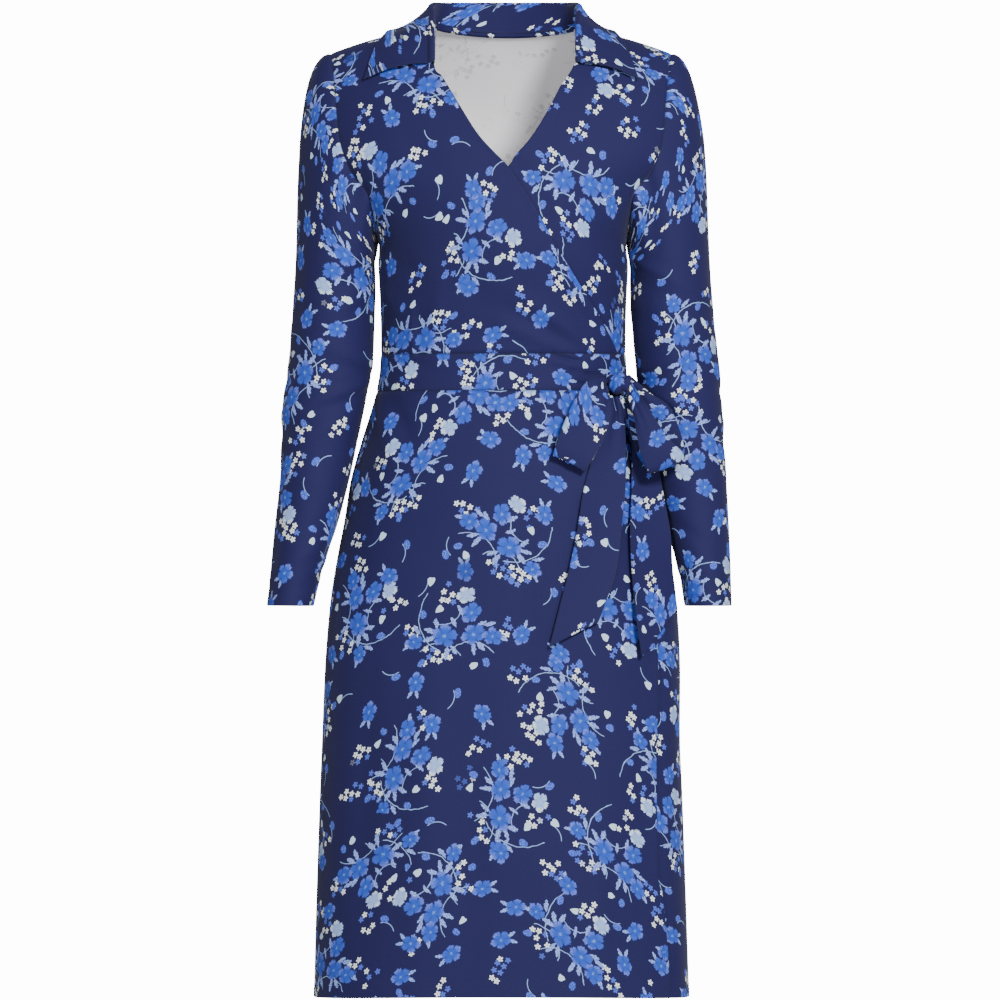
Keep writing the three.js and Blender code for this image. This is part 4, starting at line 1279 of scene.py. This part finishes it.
def single_place(point):
    """A point's place in its single motif, the motif's middle, and its chances."""
    scaled = point.times(1 / SINGLE_PITCH)
    look = {"voronoi_dimensions": "2D"}
    cell = scaled.node("ShaderNodeTexVoronoi", look, 2, Vector=scaled, Scale=1, Randomness=0.5)
    shade = Wire(cell.tree, cell.socket.node.outputs["Color"])
    away = scaled.vector("SUBTRACT", cell).times(SINGLE_PITCH)
    turned = away.node(
        "ShaderNodeVectorRotate",
        {"rotation_type": "Z_AXIS"},
        Vector=away,
        Angle=shade.part(2) * 6.283,
    )
    return turned, cell.times(SINGLE_PITCH), shade


def colour(wire, value):
    """A plain colour as a wire."""
    made = wire.tree.nodes.new("ShaderNodeRGB")
    made.outputs[0].default_value = value
    return Wire(wire.tree, made.outputs[0])


def flower_print(start):
    """The printed colour over the cloth's own flat places."""
    flat = start.node("ShaderNodeUVMap", {"uv_map": "cloth"}).times(1000)
    tones = settings()
    coarse = flat.node("ShaderNodeTexNoise", {"noise_dimensions": "2D"}, 1, Vector=flat, Scale=0.11)
    fine = flat.node("ShaderNodeTexNoise", {"noise_dimensions": "2D"}, 1, Vector=flat, Scale=0.7)
    shift = coarse.vector("SUBTRACT", (0.5, 0.5, 0.5)).times(3.0)
    small = fine.vector("SUBTRACT", (0.5, 0.5, 0.5)).times(1.5)
    turned = {"rotation_type": "Z_AXIS"}
    calm = flat.node("ShaderNodeVectorRotate", turned, Vector=flat, Angle=PRINT_TURN)
    wavy = flat.vector("ADD", shift)
    wavy = wavy.node("ShaderNodeVectorRotate", turned, Vector=wavy, Angle=PRINT_TURN)
    point = wavy.vector("ADD", small)
    grain = fine.part(2)

    ground = colour(flat, tones.ground)
    blue = colour(flat, tones.blossom)
    light = colour(flat, tones.lavender)
    pale = colour(flat, tones.leaf)
    white = colour(flat, tones.white)
    deep = colour(flat, tones.vein)

    spray, _ = spray_place(point)
    smooth_spray, _ = spray_place(wavy)
    single, middle, chances = single_place(calm)
    beside, _ = spray_place(middle)
    clear = beside.put(0, 0, 0, *SPRAY_ROOM).length().step(0.98, 1.0)
    kind = chances.part(0)
    shown = {
        "bud": clear * kind.below(BUDS_TO),
        "heart": clear * kind.above(BUDS_TO) * kind.below(HEARTS_TO),
        "stem": clear * kind.above(HEARTS_TO) * kind.below(STEMS_TO),
    }

    # Tiny flowers stand where the middle of their own cell lies in a patch
    scaled = calm.times(1 / TINY_PITCH)
    look = {"voronoi_dimensions": "2D"}
    cell = scaled.node("ShaderNodeTexVoronoi", look, 2, Vector=scaled, Scale=1, Randomness=0.42)
    chance = Wire(cell.tree, cell.socket.node.outputs["Color"])
    centre = cell.times(TINY_PITCH)
    home, _ = spray_place(centre)
    own, own_middle, own_chance = single_place(centre)
    far_home, _ = spray_place(own_middle)
    open_ground = far_home.put(0, 0, 0, *SPRAY_ROOM).length().step(0.98, 1.0)
    patch = own.put(0, 0, 0, 16, 9).length().step(0.99, 1, 1, 0)
    patch = patch * open_ground * own_chance.part(0).above(STEMS_TO)
    for x, y, turn, half_x, half_y in PATCHES:
        patch = patch | home.put(x, y, turn, half_x, half_y).length().step(0.99, 1, 1, 0)
    patch = patch * chance.part(2).step(0.16, 0.17)
    tiny = scaled.vector("SUBTRACT", cell)
    angle = tiny.part(1).maths("ARCTAN2", tiny.part(0)) + chance.part(0) * 6
    lobes = abs((angle * 2.5).maths("COSINE")) * 0.27 + 0.22
    flower = (lobes - tiny.length()).step(0, 0.06) * patch
    heart_spot = tiny.length().step(0.06, 0.12, 1, 0) * 0.85

    print_colour = ground.mix(deep, grain * 0.2)
    tiny_colour = white.mix(light.mix(blue, 0.6), chance.part(1).step(0.6, 0.62))
    tiny_colour = tiny_colour.mix(blue, heart_spot)
    print_colour = print_colour.mix(tiny_colour, flower)

    stems = arc(single.put(-3, 15, -1.3, 15, 15), 15, 0.75) * (shown["heart"] | shown["stem"])
    for x, y, radius, turn, window in STEMS:
        stems = stems | arc(smooth_spray.put(x, y, turn, radius, radius), radius, window)
    print_colour = print_colour.mix(pale.mix(light, 0.35), stems * 0.9)

    leaves = leaf(spray.put(*LEAVES[0]))
    for row in LEAVES[1:]:
        leaves = leaves | leaf(spray.put(*row))
    calyx = leaf(single.put(-11, 5, 2.5, 6, 2)) | leaf(single.put(-12, -2, 3.4, 6, 2))
    leaves = leaves | (calyx * shown["bud"])
    leaf_colour = light.mix(pale, grain.step(0.44, 0.62) * 0.8)
    print_colour = print_colour.mix(leaf_colour, leaves)

    hearts = heart(single.put(9, 1, 0.6, 4.6, 4.4)) * shown["heart"]
    for x, y, turn, size in HEARTS:
        hearts = hearts | heart(smooth_spray.put(x, y, turn, size, size * 0.9))
    print_colour = print_colour.mix(pale.mix(white, 0.35), hearts)

    buds = ellipse(single.put(9, 1, 0.5, 5.6, 3.8)) * shown["stem"]
    for x, y, turn, size in BUDS:
        buds = buds | ellipse(spray.put(x, y, turn, size, size * 0.72))
    print_colour = print_colour.mix(blue.mix(light, grain.step(0.4, 0.7)), buds)

    rough = (grain - 0.5) * 0.36
    for x, y, turn, radius, petals, is_pale in BLOSSOMS + ((0, 0, 0, 11, 5, None),):
        lone = is_pale is None
        place = (single if lone else spray).put(x, y, turn, radius, radius * 0.88)
        bloom = Blossom(place, petals, rough)
        base, tips = (light.mix(pale, 0.6), white) if is_pale else (blue, light)
        lit = place.part(0).step(-0.8, 0.6, 0.2, 1)
        tone = base.mix(tips, bloom.petals * lit * (0.45 + grain.step(0.4, 0.66) * 0.55))
        tone = tone.mix(light if is_pale else deep, bloom.lines * 0.6)
        tone = tone.mix(pale, bloom.middle * 0.35)
        print_colour = print_colour.mix(tone, bloom.whole * shown["bud"] if lone else bloom.whole)
    return print_colour


def knit_bump(start, strength):
    """The fine ribs of a single jersey knit."""
    flat = start.node("ShaderNodeUVMap", {"uv_map": "cloth"}).times(1000)
    rib = (flat.part(0) * 4.4).maths("SINE") * (flat.part(1) * 5.2).maths("SINE")
    mottle = flat.node("ShaderNodeTexNoise", None, 0, Vector=flat, Scale=1.4)
    return start.node(
        "ShaderNodeBump", None, 0, Strength=strength, Distance=0.0003, Height=rib * 0.4 + mottle
    )


def material(kind):
    """The cloth's printed face, its plain reverse, or sewing thread."""
    made = bpy.data.materials.get(kind)
    if made:
        return made
    made = bpy.data.materials.new(kind)
    made.use_nodes = True
    tree = made.node_tree
    shader = tree.nodes["Principled BSDF"]
    tones = settings()
    shader.inputs["Roughness"].default_value = 0.78
    shader.inputs["Specular IOR Level"].default_value = 0.25
    start = Wire(tree, shader.outputs[0])
    if kind == "thread":
        shader.inputs["Base Color"].default_value = tones.thread
        return made
    shader.inputs["Sheen Weight"].default_value = 0.08
    shader.inputs["Sheen Roughness"].default_value = 0.4
    printed = flower_print(start)
    if kind == "reverse":
        ghost = printed.node("ShaderNodeRGBToBW", Color=printed).step(0.06, 0.4) * 0.55
        printed = colour(start, tones.reverse).mix(colour(start, tones.ghost), ghost)
    # Painted crease shade: darkest at seams, turned edges and stitch lines, gone 2.6 mm away
    seam = start.node("ShaderNodeAttribute", {"attribute_name": "seam"}, 2)
    shade = seam.step(0, 2.6, 0.45, 0)
    printed = printed.mix(colour(start, CREASE_SHADE), shade)
    tree.links.new(printed.socket, shader.inputs["Base Color"])
    tree.links.new(knit_bump(start, 0.25).socket, shader.inputs["Normal"])
    return made


# Stitches


def stitch_group():
    """Geometry nodes that lay a short round stitch at each step along a line."""
    name = "stitches"
    group = bpy.data.node_groups.get(name)
    if group:
        return group
    group = bpy.data.node_groups.new(name, "GeometryNodeTree")
    face = group.interface
    face.new_socket("Line", in_out="INPUT", socket_type="NodeSocketGeometry")
    for label, value in (("Pitch", 0.0036), ("Length", 0.0026), ("Thickness", 0.0004)):
        socket = face.new_socket(label, in_out="INPUT", socket_type="NodeSocketFloat")
        socket.default_value = value
    face.new_socket("Thread", in_out="INPUT", socket_type="NodeSocketMaterial")
    face.new_socket("Stitches", in_out="OUTPUT", socket_type="NodeSocketGeometry")
    nodes, link = group.nodes, group.links.new
    given = nodes.new("NodeGroupInput")
    result = nodes.new("NodeGroupOutput")
    spread = nodes.new("GeometryNodeResampleCurve")
    spread.mode = "LENGTH"
    link(given.outputs["Line"], spread.inputs["Curve"])
    link(given.outputs["Pitch"], spread.inputs["Length"])
    shape = nodes.new("GeometryNodeMeshUVSphere")
    shape.inputs["Segments"].default_value = 6
    shape.inputs["Rings"].default_value = 4
    shape.inputs["Radius"].default_value = 0.5
    size = nodes.new("ShaderNodeCombineXYZ")
    link(given.outputs["Thickness"], size.inputs[0])
    link(given.outputs["Thickness"], size.inputs[1])
    link(given.outputs["Length"], size.inputs[2])
    tangent = nodes.new("GeometryNodeInputTangent")
    aim = nodes.new("FunctionNodeAlignRotationToVector")
    link(tangent.outputs[0], aim.inputs["Vector"])
    put = nodes.new("GeometryNodeInstanceOnPoints")
    link(spread.outputs[0], put.inputs["Points"])
    link(shape.outputs["Mesh"], put.inputs["Instance"])
    link(aim.outputs[0], put.inputs["Rotation"])
    link(size.outputs[0], put.inputs["Scale"])
    real = nodes.new("GeometryNodeRealizeInstances")
    link(put.outputs[0], real.inputs[0])
    dress = nodes.new("GeometryNodeSetMaterial")
    link(real.outputs[0], dress.inputs["Geometry"])
    link(given.outputs["Thread"], dress.inputs["Material"])
    link(dress.outputs[0], result.inputs[0])
    return group


def stitches(name, lines):
    """A plain mesh of stitches along lines of points given in millimetres."""
    curve = bpy.data.curves.new(name + "_line", "CURVE")
    curve.dimensions = "3D"
    for line in lines:
        spline = curve.splines.new("POLY")
        spline.points.add(len(line) - 1)
        flat = np.concatenate([np.asarray(line) * MM, np.ones((len(line), 1))], axis=1)
        spline.points.foreach_set("co", flat.ravel())
    guide = bpy.data.objects.new(name + "_line", curve)
    bpy.context.scene.collection.objects.link(guide)
    modifier = guide.modifiers.new("stitches", "NODES")
    modifier.node_group = stitch_group()
    values = {
        "Pitch": settings().stitch_pitch,
        "Length": settings().stitch_length,
        "Thickness": settings().stitch_thickness,
        "Thread": material("thread"),
    }
    for item in modifier.node_group.interface.items_tree:
        if item.name in values:
            modifier[item.identifier] = values[item.name]
    bpy.context.view_layer.update()
    graph = bpy.context.evaluated_depsgraph_get()
    mesh = bpy.data.meshes.new_from_object(guide.evaluated_get(graph), depsgraph=graph)
    bpy.data.objects.remove(guide)
    bpy.data.curves.remove(curve)
    if not len(mesh.polygons):
        raise RuntimeError(f"{name} has no stitches")
    mesh.name = name
    mesh.shade_smooth()
    piece = bpy.data.objects.new(name, mesh)
    bpy.context.scene.collection.objects.link(piece)
    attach(piece, BODY)
    return piece


def along_column(cloth, column, start=0, stop=None):
    return cloth.outer[start:stop, column]


# Add-on


def a_size(name, description, default, low, high):
    """A length that a user may change, given in millimetres and kept in metres."""
    return bpy.props.FloatProperty(
        name=name,
        description=description,
        default=default * MM,
        min=low * MM,
        max=high * MM,
        unit="LENGTH",
        precision=5,
    )


def a_colour(name, description, *steps):
    """A colour that a user may change, given in steps of 0 to 255."""
    return bpy.props.FloatVectorProperty(
        name=name,
        description=description,
        subtype="COLOR",
        size=4,
        min=0,
        max=1,
        default=srgb(*steps),
    )


class DressSettings(bpy.types.PropertyGroup):
    """Sizes and colours of the dress that a user may change"""

    cloth: a_size("Cloth", "Thickness of one layer of jersey", 0.9, 0.5, 1.3)
    lap: a_size("Lap", "How far an under front lies inside the one over it", 2.6, 1.8, 4.0)
    stitch_pitch: a_size("Stitch pitch", "From one stitch to the next", 3.6, 2.0, 8.0)
    stitch_length: a_size("Stitch length", "Length of the thread that shows", 2.7, 1.0, 6.0)
    stitch_thickness: a_size("Thread", "Thickness of the sewing thread", 0.45, 0.2, 1.0)
    ground: a_colour("Ground", "Colour of the cloth between the flowers", 23, 19, 63)
    blossom: a_colour("Blossoms", "Middle tone of the large blossoms", 38, 76, 180)
    lavender: a_colour("Petals", "Light tone of petals and some leaves", 108, 120, 212)
    leaf: a_colour("Leaves", "Pale tone of leaves, stems and hearts", 160, 196, 228)
    white: a_colour("Tiny flowers", "Lightest tone of the print", 234, 242, 238)
    vein: a_colour("Petal lines", "Dark lines between petals", 30, 44, 122)
    reverse: a_colour("Reverse", "Unprinted back of the cloth", 250, 249, 252)
    ghost: a_colour("Seen through", "Print that shows faintly on the back", 186, 184, 194)
    thread: a_colour("Thread colour", "Colour of the stitches", 36, 36, 92)


class Build(bpy.types.Operator):
    """Shared part of the operators that build pieces of the dress"""

    bl_idname = "dress.build"
    bl_label = "Build"
    bl_options = {"REGISTER", "UNDO"}

    def execute(self, context):
        self.build()
        return {"FINISHED"}

    def build(self):
        raise NotImplementedError


class BuildBodice(Build):
    """Builds the back and the two wrapped fronts, stitched along the V neck"""

    bl_idname = "dress.bodice"
    bl_label = "Bodice"

    def build(self):
        piece_of("bodice_back", own_print(bodice_back(), 1240, 300))
        over = own_print(bodice_front(True), 0, 0)
        seam = stitches("v_neck_stitches_over", [along_column(over, -6, 1, -1)])
        piece_of("bodice_front_over", over)
        under = own_print(bodice_front(False), 560, 140)
        seam = stitches("v_neck_stitches_under", [along_column(under, 5, 1, -1)])
        piece_of("bodice_front_under", under)


class BuildCollar(Build):
    """Builds the collar, top-stitched round its edge, and the strip over the back neck seam"""

    bl_idname = "dress.collar"
    bl_label = "Collar"

    def build(self):
        shape = own_print(collar(), 2100, 900)
        rim = np.concatenate([
            shape.outer[22:-5, 5],
            shape.outer[-6, 5:-5],
            shape.outer[-6:21:-1, -6],
        ])
        seam = stitches("collar_stitches", [rim])
        faces = ("face", "face")
        piece_of("collar", shape, mats=faces)
        strip = own_print(neck_binding(), 2600, 420)
        seam = stitches("neck_stitches", [strip.outer[11, 1:-1]])
        piece_of("neck_binding", strip, mats=faces)


class BuildSleeves(Build):
    """Builds the two long set-in sleeves, hemmed at the cuffs"""

    bl_idname = "dress.sleeves"
    bl_label = "Sleeves"

    def build(self):
        for name, hand, across in (("sleeve_right", -1, 3300), ("sleeve_left", 1, 4100)):
            shape = own_print(sleeve(hand), across, 250 * hand)
            rings = [np.vstack([shape.outer[k], shape.outer[k, :1]]) for k in (-7, -9)]
            seam = stitches(name + "_stitches", rings)
            piece_of(name, shape, closed=True)


class BuildWaistBand(Build):
    """Builds the inset waist band"""

    bl_idname = "dress.waist_band"
    bl_label = "Waist band"

    def build(self):
        piece_of("waist_band", own_print(band(), 60, 1500), closed=True)


class BuildSkirt(Build):
    """Builds the back and the two wrapped fronts of the skirt, hemmed"""

    bl_idname = "dress.skirt"
    bl_label = "Skirt"

    def build(self):
        rows = (6, 8)
        back = own_print(skirt_back(), 1240, -900)
        seam = stitches("hem_stitches_back", [back.outer[row, 1:-1] for row in rows])
        piece_of("skirt_back", back)
        over = own_print(skirt_front(True), 300, 700)
        lines = [over.outer[row, 1:-6] for row in rows] + [along_column(over, -6, 9, -1)]
        seam = stitches("hem_stitches_over", lines)
        piece_of("skirt_front_over", over)
        under = own_print(skirt_front(False), 800, -2300)
        seam = stitches("hem_stitches_under", [under.outer[row, 1:-1] for row in rows])
        piece_of("skirt_front_under", under)


class BuildTie(Build):
    """Builds the tied bow: its knot, two loops and two tails"""

    bl_idname = "dress.tie"
    bl_label = "Tie"

    def build(self):
        both = ("face", "face")
        shape = own_print(knot(), 5000, 100)
        piece_of("bow_knot", shape, closed=True, mats=both)
        loop = {"ends": 2, "reach": 34, "height": 1.3, "count": 5}
        tail = {"ends": 1, "reach": 42, "height": 1.5, "count": 4}
        strips = (
            ("bow_loop_front", LOOP_FRONT, dict(loop, phase=0.4), 2.0, "folded", 5200),
            ("bow_loop_side", LOOP_SIDE, dict(loop, phase=1.9), 2.0, "folded", 5500),
            ("tie_tail_front", TAIL_FRONT, dict(tail, phase=0.9), 1.4, "hung", 5800),
            ("tie_tail_side", TAIL_SIDE, dict(tail, phase=2.6), 1.4, "hung", 6100),
        )
        for name, rows, pleats, belly, held, across in strips:
            shape = own_print(ribbon(rows, pleats, belly), across, 0)
            piece_of(name, shape, mats=both)


class BuildStage(Build):
    """Builds the floor, lights, white surroundings and camera"""

    bl_idname = "dress.stage"
    bl_label = "Stage"

    def build(self):
        made = [self.floor()]
        made += [self.light(*row) for row in LIGHTS]
        self.surroundings()
        self.camera()

    def floor(self):
        mesh = bpy.data.meshes.new("floor")
        ring = np.linspace(0, 2 * math.pi, 96, endpoint=False)
        corners = [
            (FLOOR_RADIUS * math.cos(a), FLOOR_RADIUS * math.sin(a), FLOOR_LEVEL) for a in ring
        ]
        mesh.from_pydata(corners, [], [list(range(len(corners)))])
        surface = bpy.data.materials.new("floor")
        surface.use_nodes = True
        surface.node_tree.nodes["Principled BSDF"].inputs["Base Color"].default_value = (
            srgb(236, 236, 238)
        )
        mesh.materials.append(surface)
        floor = bpy.data.objects.new("floor", mesh)
        bpy.context.scene.collection.objects.link(floor)
        return floor

    def light(self, name, place, size, watts):
        data = bpy.data.lights.new(name, "AREA")
        data.shape = "DISK"
        data.size = size
        data.energy = watts
        lamp = bpy.data.objects.new(name, data)
        lamp.location = place
        aim = Vector((0, 0, -0.45)) - Vector(place)
        lamp.rotation_euler = aim.to_track_quat("-Z", "Y").to_euler()
        bpy.context.scene.collection.objects.link(lamp)
        return lamp

    def surroundings(self):
        """White all round, seen plainly but lighting the dress more softly."""
        world = bpy.data.worlds.new("studio")
        bpy.context.scene.world = world
        world.use_nodes = True
        tree = world.node_tree
        glow = tree.nodes["Background"]
        glow.inputs["Color"].default_value = (1, 1, 1, 1)
        rays = tree.nodes.new("ShaderNodeLightPath")
        strength = tree.nodes.new("ShaderNodeMapRange")
        strength.inputs["To Min"].default_value = AMBIENT
        strength.inputs["To Max"].default_value = BACKDROP
        tree.links.new(rays.outputs["Is Camera Ray"], strength.inputs["Value"])
        tree.links.new(strength.outputs[0], glow.inputs["Strength"])

    def camera(self):
        data = bpy.data.cameras.new("camera")
        data.sensor_width = SENSOR
        data.lens = SENSOR * VIEW_DISTANCE / VIEW_WIDTH
        data.clip_end = 100
        camera = bpy.data.objects.new("camera", data)
        x, _, z = VIEW_AIM
        camera.location = (x, -VIEW_DISTANCE, z)
        camera.rotation_euler = (math.pi / 2, 0, 0)
        bpy.context.scene.collection.objects.link(camera)
        bpy.context.scene.camera = camera


class DressPanel(bpy.types.Panel):
    """Sizes and colours of the dress, and buttons that build its pieces"""

    bl_idname = "VIEW3D_PT_wrap_dress"
    bl_label = "Wrap dress"
    bl_space_type = "VIEW_3D"
    bl_region_type = "UI"
    bl_category = "Dress"

    def draw(self, context):
        for name in DressSettings.__annotations__:
            self.layout.prop(context.scene.wrap_dress, name)
        for operator in OPERATORS:
            self.layout.operator(operator.bl_idname)


OPERATORS = (
    BuildBodice,
    BuildCollar,
    BuildSleeves,
    BuildWaistBand,
    BuildSkirt,
    BuildTie,
    BuildStage,
)


def register():
    for kind in (DressSettings, *OPERATORS, DressPanel):
        bpy.utils.register_class(kind)
    bpy.types.Scene.wrap_dress = bpy.props.PointerProperty(type=DressSettings)


def unregister():
    del bpy.types.Scene.wrap_dress
    for kind in reversed((DressSettings, *OPERATORS, DressPanel)):
        bpy.utils.unregister_class(kind)


def main():
    register()
    for operator in OPERATORS:
        space, name = operator.bl_idname.split(".")
        getattr(getattr(bpy.ops, space), name)()


if __name__ == "__main__":
    main()
